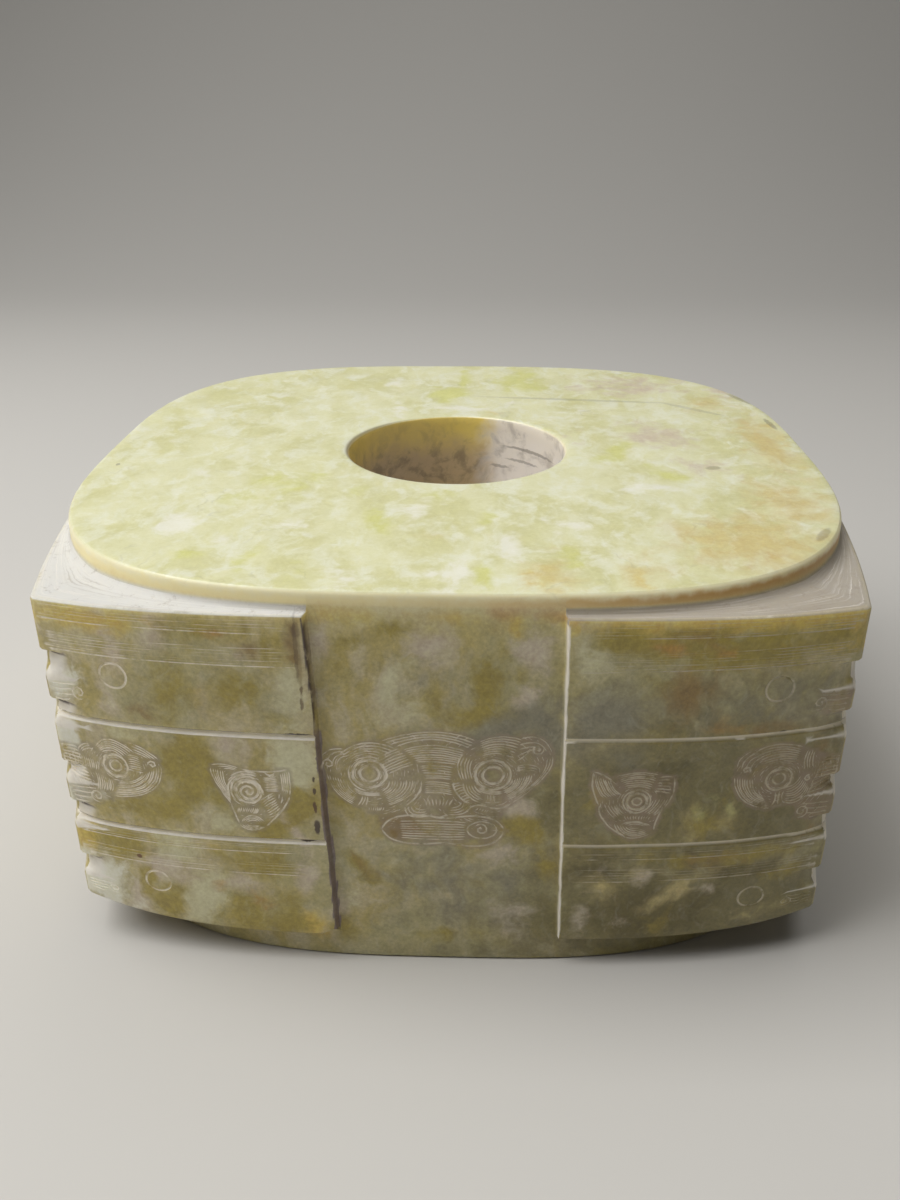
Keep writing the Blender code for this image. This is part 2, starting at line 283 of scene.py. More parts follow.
@dataclass
class Chisel:
    """Draws strokes by hand. Three of its methods take the rows of a figure's tables."""

    seed: int
    mirrored: bool = False
    plain: bool = False
    rubs: bool = True
    lift: float = 0.0
    spacing: float = 0.75
    shake: float = 0.10
    closeness: float = 1.3
    strokes: list[Stroke] = field(default_factory=list)

    def __post_init__(self) -> None:
        """Starts the tool's own waver."""
        self.waver = random.Random(self.seed)

    def cut(self, line: Line, half_width: float, depth: float) -> None:
        """Adds one stroke, with the tool's shake.

        Args:
            line: the points of its centre.
            half_width: half of its width at the surface.
            depth: how deep its bottom lies.
        """
        turn = -1.0 if self.mirrored else 1.0
        line = [(turn * along, height + self.lift) for along, height in line]
        shaken = []
        for along, height in resampled(line, self.spacing):
            shake = noise.noise_vector(Vector((along / 1.3, height / 1.3, self.seed)))
            shaken.append((along + self.shake * shake.x, height + self.shake * shake.y))
        self.strokes.append(Stroke(shaken, half_width, depth, self.rubs))

    def curve(self, *row: float, half_width: float = 0.22, depth: float = 0.17) -> None:
        """Adds a curve: its start, middle and end, its steps, and perhaps half width and depth."""
        corners = [row[k : k + 2] for k in (0, 2, 4)]
        self.cut(bend(corners, int(row[6])), *(row[7:] or (half_width, depth)))

    def sweep(
        self,
        along: float,
        height: float,
        inner: float,
        outer: float,
        start: float,
        end: float,
        half_width: float = 0.22,
        depth: float = 0.17,
        squash: float = 1.0,
    ) -> None:
        """Adds a ring, an arc or a spiral.

        Args:
            along: its middle's place along the side.
            height: its middle's height.
            inner: its radius where it starts.
            outer: its radius where it ends.
            start: its first direction, in degrees from the right, turning up.
            end: its last direction.
            half_width: half of the stroke's width.
            depth: how deep its bottom lies.
            squash: its reach up as a share of its reach along.
        """
        least, step = (6, 12) if inner == outer else (8, 20)
        count = max(least, int(abs(end - start) / step))
        line = []
        for k in range(count + 1):
            radius, turn = mix(inner, outer, k / count), math.radians(mix(start, end, k / count))
            line.append((along + radius * math.cos(turn), height + squash * radius * math.sin(turn)))
        self.cut(line, half_width, depth)

    def bundle(self, *row: float) -> None:
        """Adds lines that run side by side from one curve over to another.

        Args:
            row: the start, middle and end of the first line, the same of the last one, how many
                lines there are, and perhaps half of their width and their depth.
        """
        count = round(row[12] * self.closeness)
        half_width, depth = row[13:] or (0.17, 0.15)
        for number in range(count):
            if self.plain and number % 2:
                continue
            share = number / max(1, count - 1)
            corners = []
            for k in (0, 2, 4):
                shake = self.waver.uniform(-0.07, 0.07)
                along, height = (mix(row[k + n], row[k + n + 6], share) for n in (0, 1))
                corners.append((along + shake, height - shake))
            self.cut(bend(corners, 10), half_width * self.waver.uniform(0.75, 1.15), depth)


@dataclass(frozen=True)
class Figure:
    """One carved figure, as rows for the tool. Those of the right block are drawn on the left."""

    bundles: Rows = ()
    sweeps: Rows = ()
    curves: Rows = ()

    def carve(self, tool: Chisel, lift: float = 0.0) -> None:
        """Cuts the figure.

        Args:
            tool: the tool that cuts it.
            lift: how far it is raised.
        """
        tool.lift = lift
        ways = (tool.bundle, tool.sweep, tool.curve)
        for way, rows in zip(ways, (self.bundles, self.sweeps, self.curves)):
            for row in rows:
                way(*row)
        tool.lift = 0.0


LEFT_EYE = Figure(
    bundles=(
        (-20.8, 53.0, -15.6, 55.9, -9.6, 54.6, -18.2, 51.4, -15.2, 52.7, -12.6, 51.7, 5),
        (-24.3, 52.6, -22.4, 54.0, -19.9, 54.3, -21.4, 48.8, -21.2, 51.6, -19.4, 52.7, 3),
        (-23.6, 48.2, -22.0, 44.0, -18.4, 40.9, -19.8, 47.0, -19.2, 44.9, -17.6, 43.4, 6),
        (-18.3, 45.1, -16.0, 44.0, -13.0, 44.1, -18.4, 44.4, -16.2, 43.4, -12.8, 43.5, 2),
        (-16.6, 43.2, -16.9, 42.0, -17.7, 40.5, -15.6, 43.2, -15.7, 42.0, -16.1, 40.6, 2),
        (-15.4, 40.6, -15.3, 40.0, -15.5, 39.3, -12.3, 40.7, -12.5, 40.1, -12.9, 39.4, 6),
        (-5.8, 47.4, -7.2, 43.6, -11.6, 40.9, -11.2, 47.2, -11.5, 45.6, -12.7, 44.3, 8),
        (-13.6, 51.9, -11.6, 53.5, -9.0, 54.8, -11.4, 48.7, -8.8, 50.1, -6.0, 51.3, 6),
    ),
    sweeps=(
        (-15.1, 48.6, 1.9, 1.9, 0, 360, 0.30, 0.26),
        (-15.1, 48.6, 3.3, 3.3, 0, 360, 0.32, 0.26),
        (-15.1, 48.6, 4.2, 4.2, 150, 262),
        (-23.2, 50.6, 0.3, 1.15, 20, 560),
    ),
)

RIGHT_EYE = Figure(
    bundles=(
        (6.4, 56.5, 10.8, 57.9, 15.2, 57.0, 7.2, 53.2, 10.2, 54.0, 13.3, 52.9, 6),
        (3.2, 53.6, 2.5, 50.4, 3.4, 47.4, 5.4, 52.6, 4.9, 50.4, 5.3, 47.6, 4),
        (14.6, 57.4, 18.6, 57.4, 20.9, 54.0, 14.0, 52.2, 15.8, 53.7, 16.6, 55.2, 4),
        (14.2, 50.9, 16.4, 51.4, 18.4, 50.6, 14.0, 50.0, 16.2, 50.3, 18.0, 49.7, 2),
        (20.9, 53.6, 19.7, 48.6, 13.4, 42.0, 20.0, 53.0, 18.7, 48.4, 13.9, 43.5, 2),
        (17.2, 49.2, 15.7, 45.6, 12.4, 42.8, 13.4, 48.2, 12.8, 46.4, 11.2, 45.3, 7),
        (6.6, 45.8, 9.0, 44.9, 11.4, 45.0, 6.4, 45.2, 9.0, 44.3, 11.6, 44.5, 2),
        (8.4, 44.2, 8.4, 43.2, 8.1, 42.2, 9.7, 44.2, 9.7, 43.2, 9.9, 42.2, 2),
        (3.6, 46.9, 4.5, 43.8, 7.3, 42.0, 5.8, 46.4, 6.3, 45.2, 7.4, 44.3, 4),
        (3.2, 46.8, 2.2, 46.7, 1.2, 46.2, 5.2, 42.9, 4.5, 42.6, 3.7, 42.0, 6),
        (5.9, 40.0, 6.3, 40.4, 6.7, 40.9, 8.0, 39.4, 8.5, 39.9, 8.9, 40.5, 4),
    ),
    sweeps=(
        (9.4, 48.8, 2.0, 2.0, 0, 360, 0.30, 0.24),
        (9.4, 48.8, 3.5, 3.5, 0, 360, 0.32, 0.24),
        (18.0, 54.9, 0.3, 1.3, 200, 740),
    ),
    curves=(
        (4.2, 39.9, 6.0, 41.4, 8.6, 41.0, 8),
        (8.6, 41.0, 10.8, 40.7, 13.2, 42.0, 8),
    ),
)

BRIDGE_AND_NOSE = Figure(
    bundles=(
        (-12.6, 56.4, -2.6, 58.7, 6.0, 56.8, -9.6, 55.2, -2.5, 57.0, 4.8, 55.2, 3),
        (-8.4, 54.4, -2.4, 55.6, 4.0, 54.3, -5.8, 51.6, -1.9, 51.8, 2.4, 51.2, 6),
        (-5.2, 50.7, -1.8, 50.9, 1.8, 50.4, -4.4, 47.9, -1.6, 47.9, 1.4, 47.6, 5),
        (-8.2, 40.9, -7.0, 38.4, -3.2, 38.8, -6.4, 41.2, -5.6, 40.1, -3.8, 40.2, 3),
        (5.0, 41.6, 3.8, 39.4, 0.4, 39.0, 3.2, 42.2, 2.5, 41.0, 0.8, 40.6, 3),
        (-4.3, 46.7, -1.6, 46.9, 1.2, 46.5, -4.4, 44.2, -1.4, 44.3, 1.7, 43.9, 5),
        (-4.6, 43.2, -3.9, 42.0, -3.7, 40.9, 1.6, 43.0, 1.0, 42.0, 0.7, 41.0, 6),
    ),
    curves=(
        (-4.8, 47.2, -5.6, 43.8, -8.2, 40.9, 8),
        (1.6, 47.0, 2.3, 44.2, 4.6, 41.8, 8),
        (-3.2, 38.8, -1.6, 38.2, 0.4, 39.0, 6),
    ),
)

MOUTH = Figure(
    bundles=((-9.6, 37.0, -2.0, 37.3, 4.4, 37.0, -9.4, 33.0, -2.0, 32.7, 4.2, 32.8, 6),),
    curves=(
        (-13.0, 35.0, -9.0, 38.4, 0.0, 38.0, 12, 0.26, 0.2),
        (0.0, 38.0, 8.3, 38.4, 11.8, 35.2, 12, 0.26, 0.2),
        (-13.0, 35.0, -9.0, 31.8, 0.0, 31.9, 12, 0.26, 0.2),
        (0.0, 31.9, 8.3, 31.4, 11.8, 35.2, 12, 0.26, 0.2),
    ),
)

MOUTH_SCROLL = Figure(
    sweeps=(
        (7.4, 35.2, 3.0, 3.0, 0, 360, 0.22, 0.17, 0.7),
        (7.2, 35.3, 0.3, 1.5, 0, 504),
    ),
)

CORNER_LINES = Figure(
    bundles=((-79.0, 50.6, -77.0, 50.9, -75.0, 50.6, -79.0, 43.8, -76.4, 43.2, -73.0, 42.8, 8, 0.2, 0.2),),
)

LEFT_BEAST = Figure(
    bundles=(
        (-70.8, 51.6, -67.5, 54.0, -62.4, 51.6, -69.8, 50.4, -67.2, 51.3, -64.9, 49.9, 5),
        (-63.6, 53.8, -60.4, 52.7, -57.2, 50.4, -62.4, 51.6, -60.9, 51.2, -59.4, 50.4, 3),
        (-64.1, 50.6, -62.8, 50.8, -61.2, 50.3, -64.2, 47.2, -62.8, 47.1, -60.8, 46.8, 6),
        (-57.1, 49.2, -59.9, 42.7, -68.6, 39.8, -61.0, 46.6, -63.5, 44.5, -67.2, 43.6, 7),
        (-71.8, 45.4, -71.6, 43.0, -72.0, 40.6, -68.6, 44.3, -68.3, 42.6, -68.8, 40.8, 6),
        (-74.4, 49.0, -74.3, 47.4, -74.5, 45.8, -71.0, 48.4, -70.9, 47.0, -71.1, 45.6, 6),
        (-74.9, 50.2, -73.9, 51.6, -72.2, 52.2, -74.2, 49.6, -73.2, 50.7, -71.6, 51.0, 2),
    ),
    sweeps=(
        (-67.0, 47.7, 1.3, 1.3, 0, 360, 0.30, 0.26),
        (-67.0, 47.7, 2.65, 2.65, 0, 360, 0.28, 0.26),
        (-58.9, 49.1, 0.25, 1.0, 60, 564),
    ),
)

RIGHT_BEAST = Figure(
    bundles=(
        (-59.8, 53.6, -64.5, 55.6, -70.4, 54.2, -63.2, 50.9, -66.4, 51.4, -69.8, 50.9, 6),
        (-57.2, 50.6, -58.2, 53.4, -61.0, 54.8, -61.0, 49.6, -61.4, 51.2, -62.6, 52.2, 4),
        (-57.1, 48.8, -59.4, 43.0, -65.6, 39.9, -60.8, 48.0, -61.6, 44.8, -64.0, 42.6, 6),
        (-66.1, 44.2, -66.3, 42.4, -65.6, 40.6, -67.8, 44.2, -67.6, 42.4, -68.3, 40.8, 2, 0.24, 0.24),
        (-67.9, 44.8, -69.9, 45.6, -71.0, 47.4, -68.0, 41.4, -71.4, 41.2, -73.2, 44.6, 6),
        (-71.6, 53.6, -71.2, 51.0, -71.6, 48.6, -73.2, 53.2, -72.9, 51.0, -73.4, 48.8, 3),
    ),
    sweeps=(
        (-66.4, 47.2, 1.3, 1.3, 0, 360, 0.30, 0.26),
        (-66.4, 47.2, 2.65, 2.65, 0, 360, 0.28, 0.26),
        (-59.3, 50.1, 0.25, 1.0, 90, 594),
        (-72.6, 46.6, 0.25, 0.9, 0, 468),
    ),
)

LEFT_BIRD = Figure(
    bundles=(
        (-36.6, 47.9, -35.0, 48.0, -33.2, 47.7, -36.2, 44.9, -34.8, 44.8, -33.0, 45.0, 7),
        (-35.8, 49.2, -34.6, 48.7, -33.6, 49.4, -35.4, 48.5, -34.4, 48.2, -33.2, 48.5, 2),
        (-32.6, 49.4, -32.5, 47.2, -32.6, 44.6, -31.0, 50.0, -30.9, 47.2, -31.1, 43.9, 4),
        (-37.2, 42.2, -35.8, 43.5, -34.2, 44.4, -35.8, 38.2, -34.0, 39.2, -32.9, 40.4, 7),
        (-41.9, 40.7, -42.0, 39.9, -42.3, 39.0, -37.4, 40.6, -37.7, 39.9, -38.3, 38.9, 9, 0.17, 0.17),
        (-41.6, 36.7, -39.2, 38.5, -36.6, 37.0, -40.4, 36.8, -39.2, 37.4, -37.9, 36.9, 3),
        (-42.0, 36.2, -39.8, 34.8, -36.6, 35.9, -40.6, 36.3, -39.4, 35.8, -37.6, 36.2, 3),
        (-46.6, 49.9, -45.9, 46.4, -43.2, 41.2, -44.2, 49.4, -44.2, 46.8, -43.2, 43.8, 5),
        (-46.6, 50.4, -43.6, 50.6, -40.8, 49.9, -44.2, 49.6, -42.8, 49.8, -41.4, 49.4, 2),
    ),
    sweeps=(
        (-39.5, 44.5, 0.3, 2.75, 100, 946, 0.30, 0.26),
        (-39.5, 44.5, 2.75, 2.75, 0, 360, 0.28, 0.24),
        (-39.5, 44.5, 3.5, 3.5, 55, 225),
        (-39.5, 44.5, 4.15, 4.15, 60, 205),
        (-39.5, 44.5, 4.8, 4.8, 62, 135),
    ),
    curves=(
        (-31.1, 43.9, -32.6, 40.6, -36.6, 35.9, 12),
        (-40.6, 49.9, -36.0, 49.4, -31.0, 50.2, 10),
        (-43.2, 41.2, -42.9, 39.6, -42.0, 36.4, 8),
    ),
)

RIGHT_BIRD = Figure(
    bundles=(
        (-33.4, 49.7, -38.0, 50.7, -42.0, 50.0, -35.5, 46.9, -38.2, 47.4, -40.8, 46.6, 6),
        (-29.1, 50.6, -30.0, 46.8, -31.8, 44.4, -32.4, 48.9, -33.4, 46.8, -34.8, 45.4, 6),
        (-31.6, 43.6, -32.4, 41.4, -34.2, 39.2, -34.4, 42.6, -34.8, 41.6, -35.8, 40.6, 4),
        (-41.8, 49.3, -43.2, 49.6, -44.8, 49.4, -41.4, 46.2, -43.0, 45.9, -44.8, 45.6, 5),
        (-41.4, 44.4, -40.6, 42.4, -38.9, 40.9, -44.2, 44.4, -43.2, 42.0, -41.9, 40.2, 5),
        (-35.8, 40.5, -36.0, 39.8, -36.4, 39.1, -41.2, 40.2, -40.8, 39.6, -40.6, 39.0, 8, 0.17, 0.17),
        (-33.8, 38.4, -36.6, 34.9, -41.4, 35.6, -36.6, 37.6, -37.8, 37.0, -39.6, 37.2, 5),
        (-35.2, 38.0, -38.0, 38.9, -41.4, 37.6, -36.4, 37.8, -38.0, 38.2, -40.2, 37.6, 2),
    ),
    sweeps=(
        (-38.0, 43.7, 0.95, 0.95, 0, 360, 0.26, 0.24),
        (-38.0, 43.7, 1.95, 1.95, 0, 360, 0.30, 0.26),
        (-38.0, 43.7, 2.75, 2.75, 0, 360, 0.22, 0.18),
    ),
    curves=(
        (-29.0, 50.9, -31.6, 49.8, -33.6, 47.9, 8, 0.24, 0.2),
        (-29.0, 50.9, -29.1, 47.0, -30.5, 42.8, 10, 0.24, 0.2),
        (-30.5, 42.8, -32.0, 38.6, -36.2, 35.2, 10, 0.24, 0.2),
        (-44.9, 49.6, -45.1, 45.6, -43.4, 42.0, 10),
        (-43.4, 42.0, -42.4, 39.6, -41.9, 36.2, 8),
    ),
)

# The scrolls on a nose bar, measured from the bar's top.
NOSE_BAR = Figure(
    bundles=((-78.6, 0, -75.0, 0.2, -72.4, 0.5, -78.2, -3.4, -75.6, -3.5, -74.2, -3.0, 3, 0.18, 0.16),),
    sweeps=((-72.4, -1.3, 0.3, 1.7, 90, 666, 0.2, 0.16),),
)

LEFT_FIGURES = (
    (LEFT_BEAST, 0.0),
    (CORNER_LINES, 0.0),
    (NOSE_BAR, 40.4),
    (LEFT_BIRD, 0.0),
    (LEFT_EYE, 0.0),
    (RIGHT_EYE, 0.0),
    (BRIDGE_AND_NOSE, 0.0),
    (MOUTH, 0.0),
    (MOUTH_SCROLL, 0.0),
)
RIGHT_FIGURES = ((RIGHT_BEAST, 0.0), (CORNER_LINES, 0.0), (NOSE_BAR, 39.6), (RIGHT_BIRD, 0.0))
PLAIN_NOSE_BARS = ((NOSE_BAR, 65.4), (NOSE_BAR, 14.6))


@dataclass(frozen=True)
class SideFigures:
    """Everything cut with the fine tool on one side of the stone."""

    plain: bool = False
    seed: int = 1
    header_lines: Rows = (
        (83.3, 82.6, 81.9, 81.1, 80.4),
        (77.3, 76.6, 76.0, 75.3, 74.6, 73.9, 73.2),
        (31.1, 30.4, 29.7, 29.1),
        (26.3, 25.6, 24.9, 24.1, 23.3),
    )
    plain_eyes: tuple[Point, ...] = ((-64.3, 69.1), (63.6, 68.3), (-61.6, 18.7), (64.4, 17.0))
    plain_ring: tuple[float, ...] = (2.8, 2.8, 0.0, 360.0, 0.32, 0.24)
    eyes: tuple[Point, ...] = (
        (-67.0, 47.7), (-39.5, 44.5), (-15.1, 48.6), (9.4, 48.8), (38.0, 43.7), (66.4, 47.2),
    )
    filling_tries: int = 30000
    filling_rings: Point = (2.0, 14.0)
    filling_gap: float = 0.26
    filling_spacing: float = 0.55
    filling_view: float = 2.6
    filling_seed: int = 91
    header_seed: int = 71

    def fine_strokes(self) -> list[Stroke]:
        """The strokes of the mask, the beast's eyes, the birds and the plain ring eyes.

        Returns:
            The strokes, with their filling on the front.
        """
        left = Chisel(seed=self.seed, plain=self.plain)
        right = Chisel(seed=self.seed + 1, plain=self.plain, mirrored=True)
        for figure, lift in LEFT_FIGURES:
            figure.carve(left, lift)
        for tool in (left, right):
            tool.rubs = False
        for eye in self.plain_eyes:
            left.sweep(*eye, *self.plain_ring)
        for tool in (left, right):
            for figure, lift in PLAIN_NOSE_BARS:
                figure.carve(tool, lift)
        right.rubs = True
        for figure, lift in RIGHT_FIGURES:
            figure.carve(right, lift)
        strokes = left.strokes + right.strokes
        return strokes if self.plain else strokes + self.filling(strokes)

    def filling(self, strokes: list[Stroke]) -> list[Stroke]:
        """Short fine cuts, turned round an eye, in the open places inside the figures.

        Args:
            strokes: the figures' own strokes.

        Returns:
            The short cuts.
        """
        rubbing = [resampled(stroke.line, 0.4) for stroke in strokes if stroke.rubs]
        tree = tree_of([place for line in rubbing for place in line])
        lot = random.Random(self.filling_seed)
        cuts: list[Stroke] = []
        taken: list[Point] = []
        for _ in range(self.filling_tries):
            eye = lot.choice(self.eyes)
            radius, turn = lot.uniform(*self.filling_rings), lot.uniform(0.0, math.tau)
            half = lot.uniform(0.35, 1.0) / radius
            turns = [turn + mix(-half, half, k / 4) for k in range(5)]
            line = [(eye[0] + radius * math.cos(t), eye[1] + radius * math.sin(t)) for t in turns]
            if min(tree.find((*line[k], 0.0))[2] for k in (0, 2, 4)) < self.filling_gap:
                continue
            middle = line[2]
            near = tree.find_range((*middle, 0.0), self.filling_view)
            sectors = set()
            for spot, *_ in near:
                sectors.add(int(math.atan2(spot.y - middle[1], spot.x - middle[0]) * 4 / math.pi))
            if len(sectors) < 6 or any(math.dist(middle, p) < self.filling_spacing for p in taken):
                continue
            taken.append(middle)
            cuts.append(Stroke(resampled(line, 0.7), lot.uniform(0.11, 0.15), lot.uniform(0.06, 0.11)))
        log.info("%d short cuts fill the figures", len(cuts))
        return cuts

    def header_strokes(self, outline: "Outline", side: int) -> list[Stroke]:
        """The long level lines that band the headers, from the corner to the band.

        Args:
            outline: the stone's outline.
            side: which side they are on.

        Returns:
            The strokes.
        """
        lot = random.Random(self.header_seed + side)
        strokes = []
        for group in self.header_lines:
            for number, height in enumerate(group):
                if self.plain and number % 2:
                    continue
                firm = number == len(group) - 1
                for hand in Hand:
                    reach = outline.corner - lot.uniform(0.6, 3.0)
                    lip = outline.lip(side, hand, height) * hand.value + lot.uniform(0.7, 4.0)
                    while reach > lip + 3.0:
                        run = min(reach - lip, lot.uniform(12.0, 60.0 if firm else 36.0))
                        seed = side * 11 + hand.value * 3 + height
                        level = height + lot.uniform(-0.14, 0.14)
                        tilt = lot.uniform(-0.003, 0.003)
                        line = []
                        for k in range(9):
                            along = reach - run * k / 8
                            waver = wander(seed, along / 9.0, 0.12) + tilt * run * k / 8
                            line.append((hand.value * along, level + waver))
                        width = lot.uniform(0.15, 0.20) if firm else lot.uniform(0.10, 0.17)
                        depth = lot.uniform(0.09, 0.13) if firm else lot.uniform(0.04, 0.085)
                        strokes.append(Stroke(resampled(line, 3.6), width, depth, False))
                        reach -= run + lot.uniform(0.3, 2.6)
        return strokes


# How a block's face goes over into the band: the wall's drop by the share of its run.
WALL_DROP = Steps(((0.0, 0.0), (0.22, 0.10), (0.78, 0.92), (1.0, 1.0)))
WALL_GUARD = 0.45
WEDGE_LEVELS = (66.8, 55.8, 42.0, 30.4, 16.8)
# The heights right under the corner notches' overhangs, where painted shade is laid.
OVERHANGS = (72.15, 60.9, 46.05, 35.9, 21.95)
NOSE_BARS = ((61.5, 67.0), (36.5, 42.2))
CORNER_COLUMNS = (0.0, 0.05, 0.13, 0.25, 0.42, 0.68, 1.0)
FACE_PITCH = 2.7

# A notch's depth as a share, below the seam over it, below its header and at its foot, and the
# depth of the cut under a nose bar. Each pair is the way down in millimetres and the share.
UNDER_SEAM = ((0.0, 0.75), (0.9, 0.35), (2.6, 0.0))
UNDER_HEADER = ((-0.1, 0.0), (0.35, 0.85), (1.0, 1.0))
OVER_NOSE = ((-1.3, 0.8), (0.0, 0.25), (1.6, 0.0))
UNDER_NOSE = ((0.0, 0.05), (0.6, 0.85), (1.5, 1.0))
OVER_SEAM = (0.6, 0.8)


def turned(side: int, along: float, out: float, height: float) -> Vector:
    """The point of the stone for a place on one of its four sides."""
    return Matrix.Rotation(side * math.tau / SIDES, 3, "Z") @ Vector((along, -out, height))


@dataclass(frozen=True)
class Column:
    """A border point's place along a side, and how far down the band's wall it stands."""

    along: float
    drop: float
    slope: float


@dataclass
class Outline:
    """Where the stone's surface lies, as functions of a place on a side."""

    sizes: CongSizes

    def __post_init__(self) -> None:
        """Works out the levels that follow from the sizes."""
        self.corner = self.collar_out(0, 1.0) + self.sizes.corner_stand
        self.notches = Steps(tuple(reversed(self.notch_levels())))

    def reaches(self, side: int) -> Point:
        """The collar's reach along a side and out from it."""
        return self.sizes.collar_reach if side % 2 == 0 else self.sizes.collar_reach[::-1]

    def collar_out(self, side: int, slope: float, inset: float = 0.0) -> float:
        """How far out the collar stands in the direction of a slope.

        Args:
            side: which side is faced.
            slope: along divided by out.
            inset: how much smaller the collar is taken to be.

        Returns:
            The distance out, in millimetres.
        """
        reach_along, reach_out = self.reaches(side)
        power = self.sizes.collar_squareness
        along = abs(slope) / (reach_along - inset)
        out = 1.0 / (reach_out - inset)
        return (along**power + out**power) ** (-1.0 / power)

    def band_out(self, side: int, along: float) -> float:
        """How far out the band stands.

        Args:
            side: which side is faced.
            along: the place along the side.

        Returns:
            The distance out, in millimetres.
        """
        reach_along, reach_out = self.reaches(side)
        power = self.sizes.collar_squareness
        return reach_out * (1.0 - abs(along / reach_along) ** power) ** (1.0 / power)

    def corner_share(self, along: float) -> float:
        """How far along the side a place is, from 0 at its middle to 1 at the corner edge."""
        return abs(along) / self.corner

    def block_out(self, side: int, along: float) -> float:
        """How far out a block's face stands.

        Args:
            side: which side is faced.
            along: the place along the side.

        Returns:
            The distance out, in millimetres.
        """
        power = self.sizes.swell_power[side % 2]
        swell = self.reaches(side)[1] + self.sizes.face_step[side % 2] - self.corner
        return self.corner + swell * (1.0 - self.corner_share(along) ** power)

    def lip(self, side: int, hand: Hand, height: float) -> float:
        """Where a block's edge by the band stands along the side.

        Args:
            side: which side is faced.
            hand: which block's edge it is.
            height: the level height there.

        Returns:
            The place along the side.
        """
        waver = wander(side + 0.5 * hand.value, height / 11.0, 0.22)
        return hand.value * mix(*hand.of(self.sizes.band), height / self.sizes.height) + waver

    def wall_share(self, side: int, along: float, height: float) -> tuple[Ground, float]:
        """Which ground a place is on, and how far down the band's wall it is.

        Args:
            side: which side is faced.
            along: the place along the side.
            height: its level height.

        Returns:
            The ground, and a share from 0 at the block's edge to 1 at the wall's foot.
        """
        hand = Hand.LEFT if along < 0 else Hand.RIGHT
        run = hand.of(self.sizes.wall_run)
        inward = (self.lip(side, hand, height) - along) * hand.value
        if inward <= 0.0:
            return Ground.BLOCK, 0.0
        if inward >= run:
            return Ground.BAND, 1.0
        return Ground.WALL, inward / run

    def notch_levels(self) -> Line:
        """The depth that the corner edge is cut back at each height, as a share of a notch.

        Returns:
            Heights and shares from the ledge down to the foot.
        """
        top = self.sizes.ledge
        levels = [(top, 0.0)]
        for number, tier in enumerate(self.sizes.registers):
            header_end = top - tier.header
            nose_top = header_end - tier.notch
            nose_end = nose_top - tier.nose
            seam_end = nose_end - tier.seam
            if number:
                levels += [(top - down, share) for down, share in UNDER_SEAM]
            levels += [(header_end - down, share) for down, share in UNDER_HEADER]
            levels += [(nose_top - down, share) for down, share in OVER_NOSE]
            if tier.seam:
                levels += [(nose_end - down, share) for down, share in UNDER_NOSE]
                levels.append((seam_end + OVER_SEAM[0], OVER_SEAM[1]))
            top = seam_end
        levels.append((self.sizes.foot, 0.0))
        return levels

    def notch(self, along: float, height: float) -> float:
        """How much the corner notches cut away.

        Args:
            along: the place along the side.
            height: its level height.

        Returns:
            The depth, in millimetres.
        """
        run = (self.corner - abs(along)) / self.sizes.notch_length
        if run >= 1.0:
            return 0.0
        return self.sizes.notch_depth * self.notches.at(height) * (1.0 - run) ** 1.3

    def seam_level(self, side: int, along: float, level: float) -> float:
        """Where a seam runs at a place along the side: it wavers, but not at the corner edge."""
        calm = 1.0 - self.corner_share(along) ** 6
        return level + calm * wander(side + level, along / 12.0, 0.22)

    def above_seam(self, side: int, along: float, height: float) -> float:
        """How far above the nearest seam a place is, in millimetres."""
        gaps = [height - self.seam_level(side, along, level) for level in self.sizes.seams]
        return min(gaps, key=abs)

    def seam(self, side: int, along: float, height: float) -> float:
        """How deep the cut line between two registers is.

        Args:
            side: which side is faced.
            along: the place along the side.
            height: its level height.

        Returns:
            The depth, in millimetres.
        """
        upper, bottom, lower = SEAM_OFFSETS
        above = self.above_seam(side, along, height)
        edge = lower if above <= bottom else upper
        return self.sizes.seam_depth * clamp((above - edge) / (bottom - edge))

    def seam_lines(self, side: int, hand: Hand) -> list[Line]:
        """The lip, bottom and lower edge of each seam of one block, as lines to build along.

        Args:
            side: which side is faced.
            hand: which block it is.

        Returns:
            The lines.
        """
        lines = []
        for level in self.sizes.seams:
            places = [mix(hand.value * self.corner, self.lip(side, hand, level), k / 24) for k in range(25)]
            for offset in SEAM_OFFSETS + SEAM_GUARDS:
                lines.append([(p, self.seam_level(side, p, level) + offset) for p in places])
        return lines

    def settled(self, height: float, along: float) -> float:
        """A block's true height, with the fall of its ledge and the lift of its foot.

        Args:
            height: its level height.
            along: the place along the side.

        Returns:
            The true height.
        """
        sizes = self.sizes
        header, nose = sizes.registers[0].header, sizes.registers[-1].nose
        near_top = max(0.0, (height - sizes.ledge + header) / header)
        near_foot = max(0.0, (sizes.foot + nose - height) / nose)
        share = self.corner_share(along)
        fall = sizes.ledge_fall * near_top * share**2
        lift = sizes.foot_lift * near_foot * share**4
        if along < 0.0:
            rise, start, reach = sizes.foot_curl
            lift += rise * near_foot * clamp(1.0 - (-along - start) / reach) ** 2
        return height - fall + lift

    def blunting(self, along: float) -> float:
        """How much a worn corner edge is rounded away at a place near it."""
        depth, reach = self.sizes.corner_wear
        return depth * max(0.0, 1.0 - (self.corner - abs(along)) / reach) ** 2

    def spot(self, side: int, along: float, height: float, depth: float) -> Vector:
        """The point of the stone for a place on a side, cut to a depth.

        Args:
            side: which side is faced.
            along: the place along the side.
            height: its level height.
            depth: how deep the surface is cut there.

        Returns:
            The point, in millimetres.
        """
        ground, share = self.wall_share(side, along, height)
        out = self.band_out(side, along)
        level, cut = height, depth
        if ground is not Ground.BAND:
            out = mix(self.block_out(side, along), out, WALL_DROP.at(share))
            level = mix(self.settled(height, along), height, share)
            forms = self.notch(along, height) + self.seam(side, along, height) + self.blunting(along)
            cut += (1.0 - share) * forms
        scale = 1.0 - cut / out
        return turned(side, along * scale, out * scale, level)

